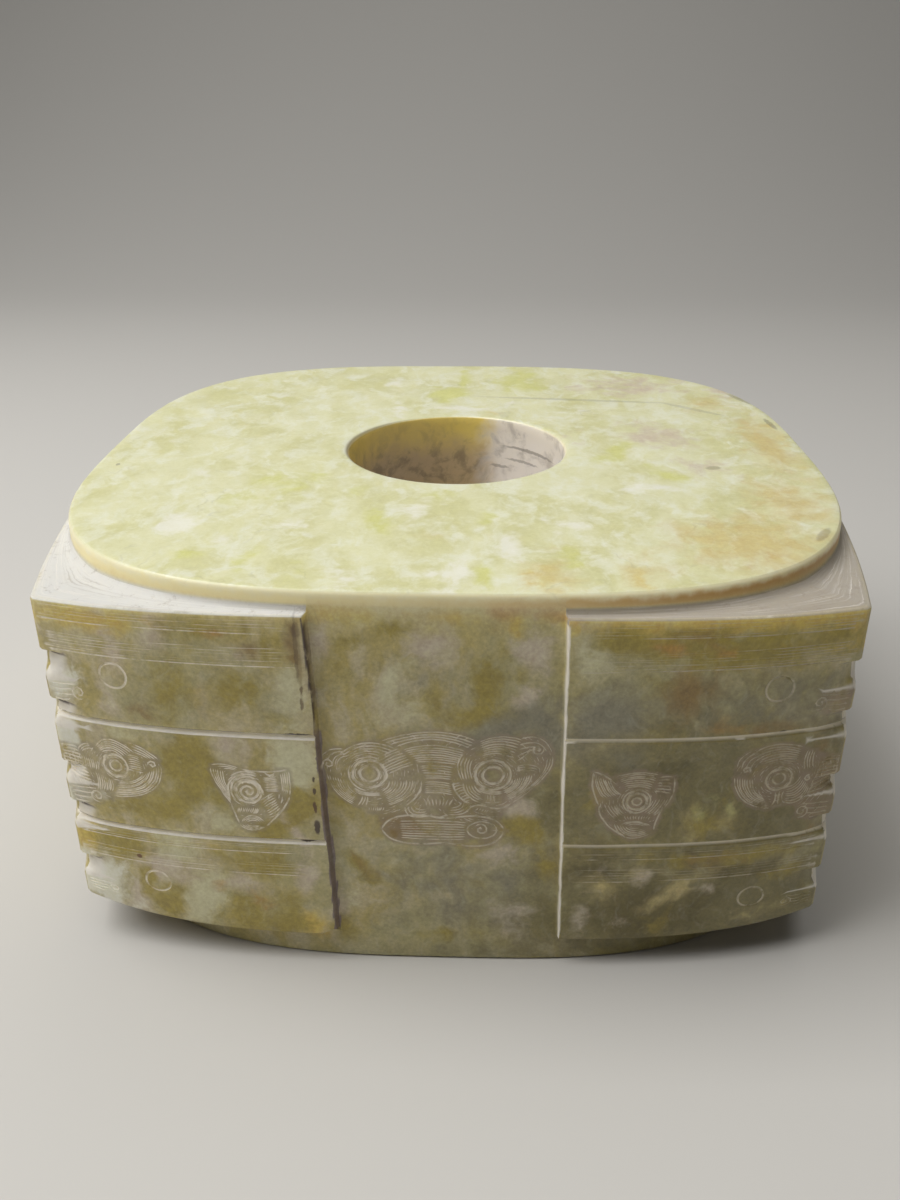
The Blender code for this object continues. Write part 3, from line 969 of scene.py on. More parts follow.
    def columns(self, side: int, height: float) -> list[Column]:
        """The columns of the skin on one side at one height.

        Args:
            side: which side is faced.
            height: the level height of the row.

        Returns:
            The columns, from the left corner edge to the right one.
        """
        notch = self.sizes.notch_length
        count = round((self.corner - notch - 25.0) / FACE_PITCH)
        halves = []
        for hand in Hand:
            lip = self.lip(side, hand, height)
            run = hand.of(self.sizes.wall_run)
            inner = hand.value * (self.corner - notch)
            guard = lip + hand.value * WALL_GUARD
            half = [(hand.value * (self.corner - k * notch), 0.0) for k in CORNER_COLUMNS]
            half += [(mix(inner, guard, k / count), 0.0) for k in range(1, count + 1)]
            half += [(lip - hand.value * share * run, drop) for share, drop in WALL_DROP.places]
            half.append((lip - hand.value * (run + WALL_GUARD), 1.0))
            halves.append(half)
        left, right = halves
        count = round((right[-1][0] - left[-1][0]) / FACE_PITCH)
        middle = [(mix(left[-1][0], right[-1][0], k / count), 1.0) for k in range(1, count)]
        listed = []
        for along, drop in left + middle + right[::-1]:
            out = self.band_out(side, along)
            if drop < 1.0:
                out = mix(self.block_out(side, along), out, drop)
            listed.append(Column(along, drop, along / out))
        return listed


@dataclass
class SideSheet:
    """The flat-laid skin of one side, from the foot ledge up to the top ledge, with its carving.

    The carving crosses itself at hundreds of places, which no chain of mesh operators follows.
    So the strokes are laid in a constrained triangulation of the flat side, and the points are
    then set on the stone.
    """

    outline: Outline
    side: int
    strokes: list[Stroke]
    grid_pitch: float = 2.6
    halo_pitch: float = 0.9
    halo_reach: float = 72.0
    sample_pitch: float = 0.12
    corner_pitch: float = 1.1
    corner_least: float = 0.12
    stroke_end: float = 0.5
    rub_reach: float = 0.8
    halo_end: float = 1.7
    groove_full: float = 0.12
    merging: float = 0.012

    def __post_init__(self) -> None:
        """Sets the sheet's borders and lays out the strokes for look-ups."""
        sizes = self.outline.sizes
        self.top = sizes.ledge - sizes.edge_rounding
        self.bottom = sizes.foot + sizes.edge_rounding
        self.samples: list[tuple[Stroke, float]] = []
        places: Line = []
        for stroke in self.strokes:
            line = resampled(stroke.line, self.sample_pitch)
            places += line
            closed = is_closed(line)
            for number in range(len(line)):
                to_end = self.sample_pitch * min(number, len(line) - 1 - number)
                full = 1.0 if closed else clamp(to_end / self.stroke_end)
                self.samples.append((stroke, full))
        self.tree = tree_of(places)

    def stroke_marks(self, along: float, height: float) -> tuple[float, float]:
        """How the strokes mark a place.

        Args:
            along: the place along the side.
            height: its level height.

        Returns:
            The depth of the deepest stroke there, and how much the place is rubbed, 0 to 1.
        """
        deepest = 0.0
        rubbed = 0.0
        for _, number, distance in self.tree.find_range((along, height, 0.0), self.rub_reach):
            stroke, full = self.samples[number]
            deepest = max(deepest, full * stroke.depth * (1.0 - distance / stroke.half_width))
            if stroke.rubs:
                rubbed = max(rubbed, 1.0 - distance / self.rub_reach)
        return deepest, clamp(rubbed * 2.0)

    def corner_heights(self) -> list[float]:
        """The heights of the border points that this side shares with its neighbours.

        Returns:
            The heights, from the bottom up.
        """
        heights = [level for level, _ in self.outline.notches.places]
        heights += [level + away for level in WEDGE_LEVELS for away in (-0.5, 0.0, 0.5)]
        for level in self.outline.sizes.seams:
            heights += [level + offset for offset in SEAM_OFFSETS + SEAM_GUARDS]
        wanted = sorted(h for h in heights if self.bottom + 0.3 < h < self.top - 0.3)
        result = [self.bottom]
        for height in wanted + [self.top]:
            gap = height - result[-1]
            if gap < self.corner_least:
                continue
            pieces = max(1, math.ceil(gap / self.corner_pitch))
            result += [mix(result[-1], height, k / pieces) for k in range(1, pieces)]
            result.append(height)
        return result

    def border(self) -> Line:
        """The sheet's border, once round from its lower left corner."""
        foot, head = (
            [column.along for column in self.outline.columns(self.side, height)]
            for height in (self.bottom, self.top)
        )
        heights = self.corner_heights()
        corner = self.outline.corner
        ring = [(along, self.bottom) for along in foot[:-1]]
        ring += [(corner, height) for height in heights[:-1]]
        ring += [(along, self.top) for along in head[:0:-1]]
        ring += [(-corner, height) for height in heights[:0:-1]]
        return ring

    def guide_lines(self) -> list[Line]:
        """The lines inside the sheet that its faces have to follow."""
        outline = self.outline
        levels = [mix(self.bottom, self.top, k / 32) for k in range(33)]
        heights = self.corner_heights()
        lines = []
        for hand in Hand:
            run = hand.of(outline.sizes.wall_run)
            steps = [share * run for share, _ in WALL_DROP.places]
            for step in [-WALL_GUARD, *steps, run + WALL_GUARD]:
                away = hand.value * step
                lines.append([(outline.lip(self.side, hand, level) - away, level) for level in levels])
            lines += outline.seam_lines(self.side, hand)
            for share in CORNER_COLUMNS[1:]:
                along = hand.value * (outline.corner - share * outline.sizes.notch_length)
                lines.append([(along, height) for height in heights])
        return lines

    def lay_out(self) -> tuple[list[Vector], list[tuple[int, int]]]:
        """The points and edges that the triangulation has to keep.

        Returns:
            The flat points, and the edges between them by number.
        """
        ring = self.border()
        lines = [ring + ring[:1], *self.guide_lines()]
        for stroke in self.strokes:
            lines.append(stroke.line)
            lines += [beside(stroke.line, away) for away in (stroke.half_width, -stroke.half_width)]
        places: list[Vector] = []
        edges: list[tuple[int, int]] = []
        for line in lines:
            first = len(places)
            places.extend(Vector(point) for point in line)
            edges.extend((k, k + 1) for k in range(first, len(places) - 1))
        return places + self.halo() + self.open_ground(places), edges

    def open_ground(self, taken: list[Vector]) -> list[Vector]:
        """Points spread over the plain places between the lines.

        Args:
            taken: the points that are laid already.

        Returns:
            The new points, none of them close to a laid one.
        """
        near = tree_of(taken)
        corner = self.outline.corner
        rows = int((self.top - self.bottom) / self.grid_pitch)
        across = int(2 * corner / self.grid_pitch)
        found = []
        for row in range(1, rows):
            height = mix(self.bottom, self.top, row / rows)
            for number in range(1, across):
                along = mix(-corner, corner, (number + 0.5 * (row % 2)) / across)
                if abs(along) > corner - self.outline.sizes.notch_length:
                    continue
                if near.find((along, height, 0.0))[2] > 0.42 * self.grid_pitch:
                    found.append(Vector((along, height)))
        return found

    def halo(self) -> list[Vector]:
        """Points round the figures, so that their rubbed ground ends where they end."""
        pitch = self.halo_pitch
        reach = int(self.halo_reach / pitch)
        found = []
        for row in range(int(self.bottom / pitch) + 1, int(self.top / pitch)):
            for number in range(-reach, reach):
                along, height = (number + 0.5 * (row % 2)) * pitch, row * pitch
                _, index, distance = self.tree.find((along, height, 0.0))
                if self.samples[index][0].rubs and self.rub_reach < distance < self.halo_end:
                    found.append(Vector((along, height)))
        return found

    def ground_marks(self, along: float, height: float) -> dict[str, float]:
        """How chalky and how soiled a place between the strokes is, with painted highlights and painted
        shade.

        Args:
            along: the place along the side.
            height: its level height.

        Returns:
            Shares from 0 to 1 by the name of the mark.
        """
        outline = self.outline
        ground, share = outline.wall_share(self.side, along, height)
        marks = {"chalk_and_highlight": 0.0, "soil_and_shade": 0.0}
        # On the right wall the chalk mark is partly a painted highlight: a bright line along the block's
        # edge, fainter further down the wall.
        if ground is Ground.WALL and along > 0.0:
            edge = 1.0 if share < 0.3 else 0.22
            marks["chalk_and_highlight"] = edge - 0.25 * clamp(wander(4.0, height / 4.0, 2.0))
        # The left wall is darkened: plum that deepens below 61 mm, and a dark line by the block's edge
        # above 62 mm.
        elif ground is Ground.WALL:
            marks[Tint.PLUM.mark] = mix(0.45, 1.0, clamp((61.0 - height) / 6.0))
            marks["soil_and_shade"] = 0.85 if share < 0.3 and height > 62.0 else 0.0
        elif ground is Ground.BLOCK:
            above = outline.above_seam(self.side, along, height)
            # A pale line on the right block's edge by the band, partly chalk and partly painted highlight.
            if along > 0.0 and along - outline.lip(self.side, Hand.RIGHT, height) < 0.1:
                marks["chalk_and_highlight"] = 0.55
            # At each seam the upward-facing lower slope gets a pale line, partly chalk and partly painted
            # highlight. The downward-facing wall just above it gets painted shade at the left and a painted
            # brightening at the right.
            if (-0.7 if along < 0.0 else -0.4) <= above < 0.3:
                marks["chalk_and_highlight"] = 1.0
            elif 0.3 <= above <= 0.55:
                marks.update({"chalk_and_highlight": 0.6} if along > 0.0 else {"soil_and_shade": 0.8})
            marks["chalk_and_highlight"] = max(marks["chalk_and_highlight"], self.notch_chalk(along, height))
            marks["soil_and_shade"] = max(marks["soil_and_shade"], self.notch_shade(along, height))
        return marks

    def notch_shade(self, along: float, height: float) -> float:
        """How much painted shade a place takes by lying right under an overhang of the corner notches.

        Args:
            along: the place along the side.
            height: its level height.

        Returns:
            A share from 0 to 1.
        """
        share = 1.0 - (self.outline.corner - abs(along)) / (self.outline.sizes.notch_length - 0.5)
        away = min(abs(height - level) for level in OVERHANGS)
        if share <= 0.0 or away > 0.15:
            return 0.0
        return clamp(0.45 + share) * (0.95 if along < 0.0 else 0.6)

    def notch_chalk(self, along: float, height: float) -> float:
        """How chalky the corner notches are: all over at the left, on the lower slope at the right.

        Args:
            along: the place along the side.
            height: its level height.

        Returns:
            A share from 0 to 1.
        """
        outline = self.outline
        taper = 1.0 - (outline.corner - abs(along)) / (outline.sizes.notch_length + 2.0)
        if taper <= 0.0:
            return 0.0
        reach, most = (1.1, 1.0) if along < 0.0 else (0.55, 0.7)
        away = min(abs(height - level) for level in WEDGE_LEVELS)
        chalk_and_highlight = most * clamp(1.6 - away / (reach * taper))
        return max(chalk_and_highlight, clamp(2.5 * outline.notch(along, height))) if along < 0.0 else chalk_and_highlight

    def bar_rubbing(self, along: float, height: float) -> float:
        """How rubbed a place is by lying on one of the two upper nose bars, near the corner."""
        if not any(low <= height <= high for low, high in NOSE_BARS):
            return 0.0
        return clamp((9.0 - self.outline.corner + abs(along)) / 3.0) * (0.35 if along < 0.0 else 0.9)

    def add_to(self, stone: "Stone") -> None:
        """Adds the sheet's faces to the stone.

        Args:
            stone: the stone, whose shell takes them.
        """
        places, edges = self.lay_out()
        flat, _, faces, *_ = delaunay_2d_cdt(places, edges, [], 0, self.merging, False)
        points = []
        for place in flat:
            depth, rubbed = self.stroke_marks(place.x, place.y)
            marks = self.ground_marks(place.x, place.y)
            marks["groove"] = clamp(depth / self.groove_full)
            marks["rubbed"] = max(rubbed, self.bar_rubbing(place.x, place.y))
            spot = self.outline.spot(self.side, place.x, place.y, depth)
            points.append(stone.point(spot, marks))
        for face in faces:
            stone.shell.faces.new([points[k] for k in face])
        log.info("side %d: %d points, %d faces", self.side, len(flat), len(faces))


@dataclass(frozen=True)
class Row:
    """One row of the skin: where each column's point lies on it, and how it is marked."""

    place: Callable[[int, Column], Vector]
    sinking: float
    marks: dict[str, float]


@dataclass
class Skin:
    """The rows above, inside and below the four sheets: ledges, collars, top, bore and base."""

    outline: Outline
    lip_spread: float = 0.9
    bore_waver: float = 0.09
    bore_depths: tuple[float, ...] = (26.0, 32.0, 38.0, 41.5)
    bore_heights: tuple[float, ...] = (41.5, 36.0, 28.0, 20.0, 12.0, 3.0)
    ledge_steps: Rows = ((0.85, 0.0), (0.6, 0.0), (0.4, 0.02), (0.24, 0.1), (0.12, 0.3))

    def sinks(self, height: float) -> float:
        """How far down the columns a row lies: 0 at the ledge's border, 1 at the foot's."""
        return float(height < self.outline.sizes.height / 2)

    def ledge_row(
        self, level: float, lift: float, inset: float, reach: float, marks: dict[str, float]
    ) -> Row:
        """A row across a ledge or round a block's edge.

        Args:
            level: the block's level height there.
            lift: how far above that level the row is.
            inset: how far in from the block's face the ledge ends.
            reach: 0 at the collar's wall, 1 at the ledge's end.
            marks: how the surface is marked.

        Returns:
            The row.
        """
        outline = self.outline

        def place(side: int, column: Column) -> Vector:
            """Where one column's point lies."""
            collar = outline.collar_out(side, column.slope)
            block = outline.block_out(side, column.along) - inset - outline.blunting(column.along)
            out = mix(mix(collar, block, reach), collar, column.drop)
            height = mix(outline.settled(level, column.along), level, column.drop) + lift
            return turned(side, column.slope * out, out, height)

        return Row(place, self.sinks(level), marks)

    def shelf_row(self, level: float, reach: float, lift: float, chalk_and_highlight: float) -> Row:
        """A row across a ledge, with its chalk, and on the lower ledge its soil together with painted
        shade.
        """
        marks = {"chalk_and_highlight": chalk_and_highlight, "soil_and_shade": 0.5 * self.sinks(level), "shelf": reach}
        return self.ledge_row(level, lift, self.outline.sizes.edge_rounding, reach, marks)

    def lip_size(self, side: int, column: Column) -> float:
        """How wide the bore's worn lip is: widest to the left and right, where it was held."""
        across = turned(side, column.slope, 1.0, 0.0).normalized().x
        return self.outline.sizes.bore_lip * (1.0 + self.lip_spread * across**4)

    def level_row(self, height: float, inset: float, share: float = 0.0, rim: float = 0.0) -> Row:
        """A row round a collar, or on the top or the base.

        Args:
            height: its height.
            inset: how far in from the collar's wall it starts.
            share: 0 where it starts, 1 at the bore's lip.
            rim: how much it is marked as the rim.

        Returns:
            The row.
        """
        outline = self.outline

        def place(side: int, column: Column) -> Vector:
            """Where one column's point lies."""
            radius = outline.sizes.bore_mouth + self.lip_size(side, column)
            length = math.hypot(column.slope, 1.0)
            out = mix(outline.collar_out(side, column.slope, inset), radius / length, share)
            return turned(side, column.slope * out, out, height)

        return Row(place, self.sinks(height), {"rim": rim})

    def round_row(
        self, height: float, radius: float, sinking: float, bore: float = 1.0, lip: Point = (0.0, 0.0)
    ) -> Row:
        """A row round the bore or its lip.

        Args:
            height: its height in the bore, or that of the face that the bore opens in.
            radius: the bore's radius.
            sinking: how far down the columns it lies.
            bore: how much it is marked as the bore.
            lip: how far it is out from the radius and up from the height, as shares of the lip.

        Returns:
            The row.
        """
        wide, high = lip

        def place(side: int, column: Column) -> Vector:
            """Where one column's point lies."""
            size = self.lip_size(side, column)
            length = math.hypot(column.slope, 1.0)
            out = radius + size * wide
            return turned(side, out * column.slope / length, out / length, height + high * size)

        return Row(place, sinking, {"bore": bore})

    def lip_row(self, height: float, turn: float) -> Row:
        """A row round the bore's lip, from a turn of 0 on the face to one of 90 in the bore."""
        up, inward = quarter(turn)
        sinking = self.sinks(height)
        lip = (1.0 - up, inward * (2.0 * sinking - 1.0))
        return self.round_row(height, self.outline.sizes.bore_mouth, sinking, turn / 90.0, lip)

    def bore_row(self, height: float) -> Row:
        """A row down the bore, which narrows to a low ridge at its middle.

        Args:
            height: its height.

        Returns:
            The row.
        """
        sizes = self.outline.sizes
        middle = sizes.height / 2
        away = abs(height - middle)
        half = sizes.bore_ridge_half
        if away < half:
            radius = sizes.bore_waist - sizes.bore_ridge_relief * (1.0 - away / half)
        else:
            share = (away - half) / (middle - 2.0 - half)
            radius = mix(sizes.bore_waist, sizes.bore_mouth, min(1.0, share))
        radius += self.bore_waver * noise.noise(Vector((height / 1.7, 3.3, 0.0)))
        return self.round_row(height, radius, 1.0 - height / sizes.height)

    def border_row(self, height: float) -> Row:
        """The row that the skin shares with the sheets."""

        def place(side: int, column: Column) -> Vector:
            """Where one column's point lies."""
            return self.outline.spot(side, column.along, height, 0.0)

        return Row(place, self.sinks(height), {})

    def rows(self) -> list[Row]:
        """Every row, from the sheets' upper border round to their lower border."""
        sizes = self.outline.sizes
        edge, rim, fillet = sizes.edge_rounding, sizes.rim_rounding, sizes.ledge_fillet
        ledge, foot, top = sizes.ledge, sizes.foot, sizes.height
        rows = [self.border_row(ledge - edge)]
        # The blocks' rounded upper edges: their chalk mark is a painted highlight along them.
        for turn in (30, 60, 90):
            up, inward = quarter(turn)
            marks = {"chalk_and_highlight": 0.62, "shelf": 1.0}
            rows.append(self.ledge_row(ledge - edge, edge * up, edge * inward, 1.0, marks))
        for reach, lift in self.ledge_steps:
            rows.append(self.shelf_row(ledge, reach, lift * fillet, 0.9))
        rows.append(self.shelf_row(ledge, 0.04, 0.62 * fillet, 0.7))
        rows.append(self.level_row(ledge + fillet, 0.0, rim=0.75))
        rows.append(self.level_row(mix(ledge + fillet, top - sizes.rim_drop, 0.5), 0.0, rim=1.0))
        for turn in (0, 22, 45, 68, 90):
            up, inward = quarter(turn)
            height = top - sizes.rim_drop * (1.0 - up)
            rows.append(self.level_row(height, rim * inward, rim=1.0 - turn / 90))
        for share in (0.02, 0.05, *(k / 15 for k in range(2, 15)), 0.98):
            rows.append(self.level_row(top, rim, share))
        rows += [self.lip_row(top, turn) for turn in (0, 30, 60, 90)]
        rows += [self.bore_row(top - 3.0 - 1.6 * k) for k in range(12)]
        rows += [self.bore_row(top - depth) for depth in self.bore_depths]
        rows.append(self.bore_row(top / 2))
        rows += [self.bore_row(height) for height in self.bore_heights]
        rows += [self.lip_row(0.0, turn) for turn in (90, 45, 0)]
        rows += [self.level_row(0.0, rim, share) for share in (0.8, 0.6, 0.4, 0.2)]
        for turn in (90, 60, 30, 0):
            up, inward = quarter(turn)
            rows.append(self.level_row(rim * (1.0 - up), rim * inward))
        rows.append(self.level_row(foot - edge, 0.0))
        rows += [self.shelf_row(foot, reach, 0.0, 0.3) for reach in (0.05, 0.4, 0.8)]
        # The blocks' rounded lower edges: their soil mark is painted shade along the underside.
        for turn in (90, 60, 30):
            up, inward = quarter(turn)
            rows.append(self.ledge_row(foot + edge, -edge * up, edge * inward, 1.0, {"soil_and_shade": 0.4}))
        rows.append(self.border_row(foot + edge))
        return rows

    def add_to(self, stone: "Stone") -> None:
        """Adds the skin to the stone: a grid wrapped round it by its columns.

        Args:
            stone: the stone, whose shell takes it.
        """
        sizes = self.outline.sizes
        heads = []
        for side in range(SIDES):
            head = self.outline.columns(side, sizes.ledge - sizes.edge_rounding)
            foot = self.outline.columns(side, sizes.foot + sizes.edge_rounding)
            heads += [(side, upper, lower) for upper, lower in zip(head[:-1], foot[:-1])]
        rows = self.rows()
        made = bmesh.ops.create_grid(
            stone.shell, x_segments=len(heads), y_segments=len(rows) - 1, size=0.5
        )
        for number, vert in enumerate(made["verts"]):
            row = rows[number // (len(heads) + 1)]
            side, upper, lower = heads[number % (len(heads) + 1) % len(heads)]
            along = mix(upper.along, lower.along, row.sinking)
            column = Column(along, upper.drop, mix(upper.slope, lower.slope, row.sinking))
            vert.co = row.place(side, column)
            for name, share in row.marks.items():
                fading = {"bore": 0.0, "rim": 0.25}.get(name, 1.0)
                vert[stone.marks[name]] = share * (1.0 - column.drop * fading)
        log.info("skin: %d columns by %d rows", len(heads), len(rows))


class Tint(Enum):
    """A colour that parts of the stone have taken, in the order that they lie over each other.

    Each has its colour and how ragged its edge is, from 0, soft, to 1.
    """

    # A dark green of the jade, made darker still as painted shade for the right block, which it covers.
    MOSS_AND_SHADE = ("#786F42", 0.2)
    FERN = ("#665B2C", 0.4)
    CREAM = ("#D2CDA6", 0.6)
    ASH = ("#CDBFA8", 0.65)
    YELLOW = ("#D3B857", 0.5)
    AMBER = ("#CFBD80", 0.4)
    LIME = ("#D0CF84", 0.7)
    OLIVE = ("#A2903A", 0.6)
    SLATE = ("#8D8872", 0.1)
    BROWN = ("#937740", 0.5)
    RUST = ("#B8893C", 0.5)
    PLUM = ("#7C6B6C", 0.5)
    WHITE = ("#E8E6D4", 0.8)

    def __init__(self, colour: str, rag: float) -> None:
        """Keeps the colour and the raggedness under their own names."""
        self.colour = colour
        self.rag = rag

    @property
    def mark(self) -> str:
        """The name of the mark that the stone's points carry for this tint."""
        return "tint_" + self.name.lower()


@dataclass(frozen=True)
class Patch:
    """A place where the stone has taken a tint, on a side or the top laid flat, in millimetres."""

    tint: Tint
    middle: Point
    reach: Point
    strength: float = 1.0
    lean: float = 0.0

    def share(self, place: Point) -> float:
        """How much of the tint a place has: all in the middle, half at the reach, then less.

        Args:
            place: the place, along and up.

        Returns:
            The share.
        """
        run = (place[0] - self.middle[0], place[1] - self.middle[1])
        if max(abs(run[0]), abs(run[1])) > 2.0 * max(self.reach):
            return 0.0
        cos, sin = math.cos(math.radians(self.lean)), math.sin(math.radians(self.lean))
        along = (run[0] * cos + run[1] * sin) / self.reach[0]
        across = (run[1] * cos - run[0] * sin) / self.reach[1]
        return self.strength * clamp(1.0 - 0.5 * math.hypot(along, across))


# Each spot gives its middle, its reach both ways, and where they differ from 1 and 0 its strength
# and lean.
Spots = dict[Tint, Rows]

LEFT_BLOCK_SPOTS: Spots = {
    Tint.YELLOW: ((-70, 81, 12, 3, 0.8), (-77, 28, 3, 5, 0.9), (-28, 10, 4, 4, 0.9), (-48, 30, 8, 2, 0.5)),
    Tint.ASH: (
        (-64, 76, 2.5, 8, 0.8, 8), (-66, 62, 3, 7, 0.6), (-55, 80, 3, 6, 0.7), (-39, 76, 4, 4, 0.6),
        (-47, 66, 2.5, 7, 0.6), (-43, 55, 4, 4, 0.75), (-31, 36, 1.3, 5, 1.0, 25),
        (-60, 23, 6, 3, 1.0, -15),
        (-66, 14, 5, 6, 0.9), (-42, 21, 4, 3, 0.7), (-29, 24, 2.5, 5, 1.0), (-54, 55, 3, 3, 0.6),
    ),
    Tint.OLIVE: (
        (-44, 80, 9, 5, 0.7), (-32, 79, 4, 5, 0.8), (-53, 67, 8, 8, 0.75), (-40, 67, 5, 7, 0.8),
        (-33, 62, 4, 4, 0.6), (-72, 68, 4, 4, 0.6), (-51, 48, 6, 10, 1.0), (-29, 41, 3.4, 5, 1.1),
        (-36, 35, 4, 2.5, 0.9), (-60, 37, 8, 4, 0.85), (-68, 28, 7, 3.5, 1.0), (-60, 13, 5, 5, 1.0),
        (-64, 19, 2, 6, 0.9), (-44, 11, 6, 6, 0.9), (-36, 26, 6, 4, 0.9), (-33, 12, 4, 8, 0.85),
        (-55, 41, 5, 4, 0.8), (-47, 28, 6, 3, 0.7),
    ),
    Tint.CREAM: (
        (-30, 66, 4, 7, 0.8), (-30, 51, 4, 7, 0.95), (-46, 37, 4, 4, 0.7), (-66, 56, 5, 2.5, 0.6),
        (-57, 29, 5, 4, 1.0), (-50, 16, 4.5, 8, 1.05, -25), (-46, 71, 4, 2, 0.5),
    ),
    Tint.RUST: ((-43, 80, 4, 1.2, 0.6, 10), (-39, 16, 2.4, 4, 0.65, 30), (-48, 20, 2, 3, 0.5, -30)),
    Tint.BROWN: ((-28, 78, 1.6, 9, 0.9), (-36, 77, 4, 2, 0.5), (-60, 62, 5, 4, 0.5)),
    Tint.WHITE: (
        (-76, 16, 7, 7, 0.95), (-77, 66, 5, 6, 0.85), (-78, 53, 5, 4, 0.9), (-76, 39, 5, 4, 0.8),
        (-72, 11, 7, 3, 0.7), (-78, 77, 4, 1.5, 0.5),
    ),
}

BAND_SPOTS: Spots = {
    Tint.YELLOW: ((-20, 85, 6, 3, 0.7), (12, 83, 5, 3, 0.7), (2, 84, 12, 1.6, 0.5)),
    Tint.OLIVE: (
        (-13, 80, 12, 2, 0.7, 22), (-20, 74, 2.2, 8, 0.6, 15), (-2, 64, 7, 4, 0.7), (8, 69.5, 2.8, 5, 1.1),
        (13.5, 72, 2.4, 2), (10.5, 77, 1.8, 3, 0.8), (5, 62, 7, 3, 0.9), (-4, 35, 4, 2.5, 0.7),
        (16.5, 35, 4.5, 2.8, 1.0, -20), (-16.2, 24, 2.0, 6, 1.0, 35), (-22, 35, 2, 4, 0.8),
        (21, 26, 2.2, 4, 0.9),
        (7, 23, 2, 3, 0.6), (0, 7.5, 14, 1.8, 0.5), (-22, 9, 3, 3, 0.8), (-21, 42, 2, 3, 0.6),
    ),
    Tint.ASH: (
        (-1, 78, 5, 4, 0.8), (-23, 78, 2, 5, 0.8), (16, 78, 4, 5, 0.9), (16, 67, 4, 2.5, 0.8, 20),
        (15, 41, 4, 3, 0.8), (14, 12, 5, 6, 0.7), (11, 28, 5, 4, 0.7), (-22, 14, 2.5, 6, 0.6),
        (-21, 62, 2, 5, 0.5),
    ),
    Tint.RUST: ((11.5, 86, 3.4, 2.4, 1.2), (20.5, 84.5, 4, 2.2, 0.9), (16, 76, 1.2, 2, 0.5)),
    Tint.SLATE: (
        (14, 61, 12, 2.8, 1.0, 25), (21, 57, 5, 8, 0.9), (12.5, 21.5, 3, 4, 0.9), (0, 22, 14, 14, 0.6),
        (-4, 71, 9, 6, 0.45),
    ),
    Tint.MOSS_AND_SHADE: ((19, 50, 6, 8, 0.7), (22, 43, 3, 5, 0.9), (21, 13, 4.5, 8), (20, 24, 3, 8, 0.7)),
    Tint.BROWN: ((-9, 36, 4, 3.2), (-16.2, 24, 1.1, 5, 0.7, 35)),
    Tint.CREAM: ((-10, 68, 8, 8, 0.6), (-12, 30, 5, 6, 0.5), (-20, 21, 2.5, 8, 0.6), (-14, 60, 5, 5, 0.4)),
}

# The two broad dark green spots first in this table cover the whole right block; they are partly the jade's
# own colour and partly painted shade.
RIGHT_BLOCK_SPOTS: Spots = {
    Tint.MOSS_AND_SHADE: ((52, 44, 46, 23), (52, 14, 44, 20)),
    Tint.FERN: (
        (42, 14, 10, 8), (30, 26, 7, 5, 0.85), (52, 17, 5, 6, 0.8), (50, 29, 10, 3, 0.7),
        (62, 42, 7, 10, 0.6), (36, 50, 8, 6, 0.5), (66, 24, 10, 4, 0.6),
        (58, 25, 4, 3.5, 0.95), (38, 12, 3.5, 6, 1.0, -20), (44, 48, 5, 8, 0.7, -30),
    ),
    Tint.CREAM: ((27, 76, 4, 8, 0.8), (29, 70, 3, 8, 0.5)),
    Tint.AMBER: (
        (50, 41, 2.5, 5, 0.7, -20), (57.5, 39, 1.5, 6, 0.6), (53, 36, 6, 2, 0.7, 30),
        (49, 21, 9, 2.2, 0.75, 35), (66, 13, 8, 2.4, 0.6, 15), (31, 22, 5, 3.5, 0.6, -20),
    ),
    Tint.LIME: ((51, 40, 2.2, 4, 0.6, -20), (57.5, 40, 1.5, 4, 0.55)),
    Tint.ASH: (
        (30, 83, 8, 1.5, 0.6), (41, 26, 5, 1.8, 0.62, 50), (36, 13, 1.8, 9, 0.55, -35),
        (54, 21, 3, 2.2, 0.55), (31, 23, 5, 4, 0.5, -20), (28, 12, 2, 6, 0.5), (49, 20, 8, 1.6, 0.5, 35),
    ),
    Tint.YELLOW: ((58, 83.0, 36, 2.6, 0.9), (76, 80, 6, 5, 0.8)),
    Tint.OLIVE: (
        (32, 80, 4, 3.5, 1.0), (58, 77.5, 24, 3.4, 1.0), (47, 81, 6, 1.5, 0.8), (67, 79, 8, 2, 0.8),
        (44, 33, 10, 2.0, 0.62, 55), (53, 37, 6, 3.4, 0.75), (60, 48, 12, 2.2, 0.55, 50),
        (30, 46, 2.4, 8, 0.6, -20),
        (40, 70, 6, 3, 0.6, 20), (50, 28.5, 7, 2, 0.8), (64, 29, 8, 2.4, 0.75), (70, 23, 5, 3, 0.6),
        (45, 12, 4, 6, 0.6, -30),
    ),
    Tint.SLATE: ((31, 64, 10, 5, 1.0, 22), (64, 64, 14, 6, 0.6), (34, 54, 8, 4, 0.5)),
    Tint.RUST: ((41.5, 78.5, 3.4, 1.6, 0.7), (52, 77, 6, 1.8, 0.5), (54, 61.5, 5, 2.2, 0.5)),
    Tint.BROWN: (
        (46, 68, 6, 6, 0.8), (61, 59.5, 6, 1.6, 0.8), (47, 80, 7, 2, 0.6), (56, 28, 7, 2.4, 0.55),
        (75, 44, 4, 18, 0.5),
    ),
}

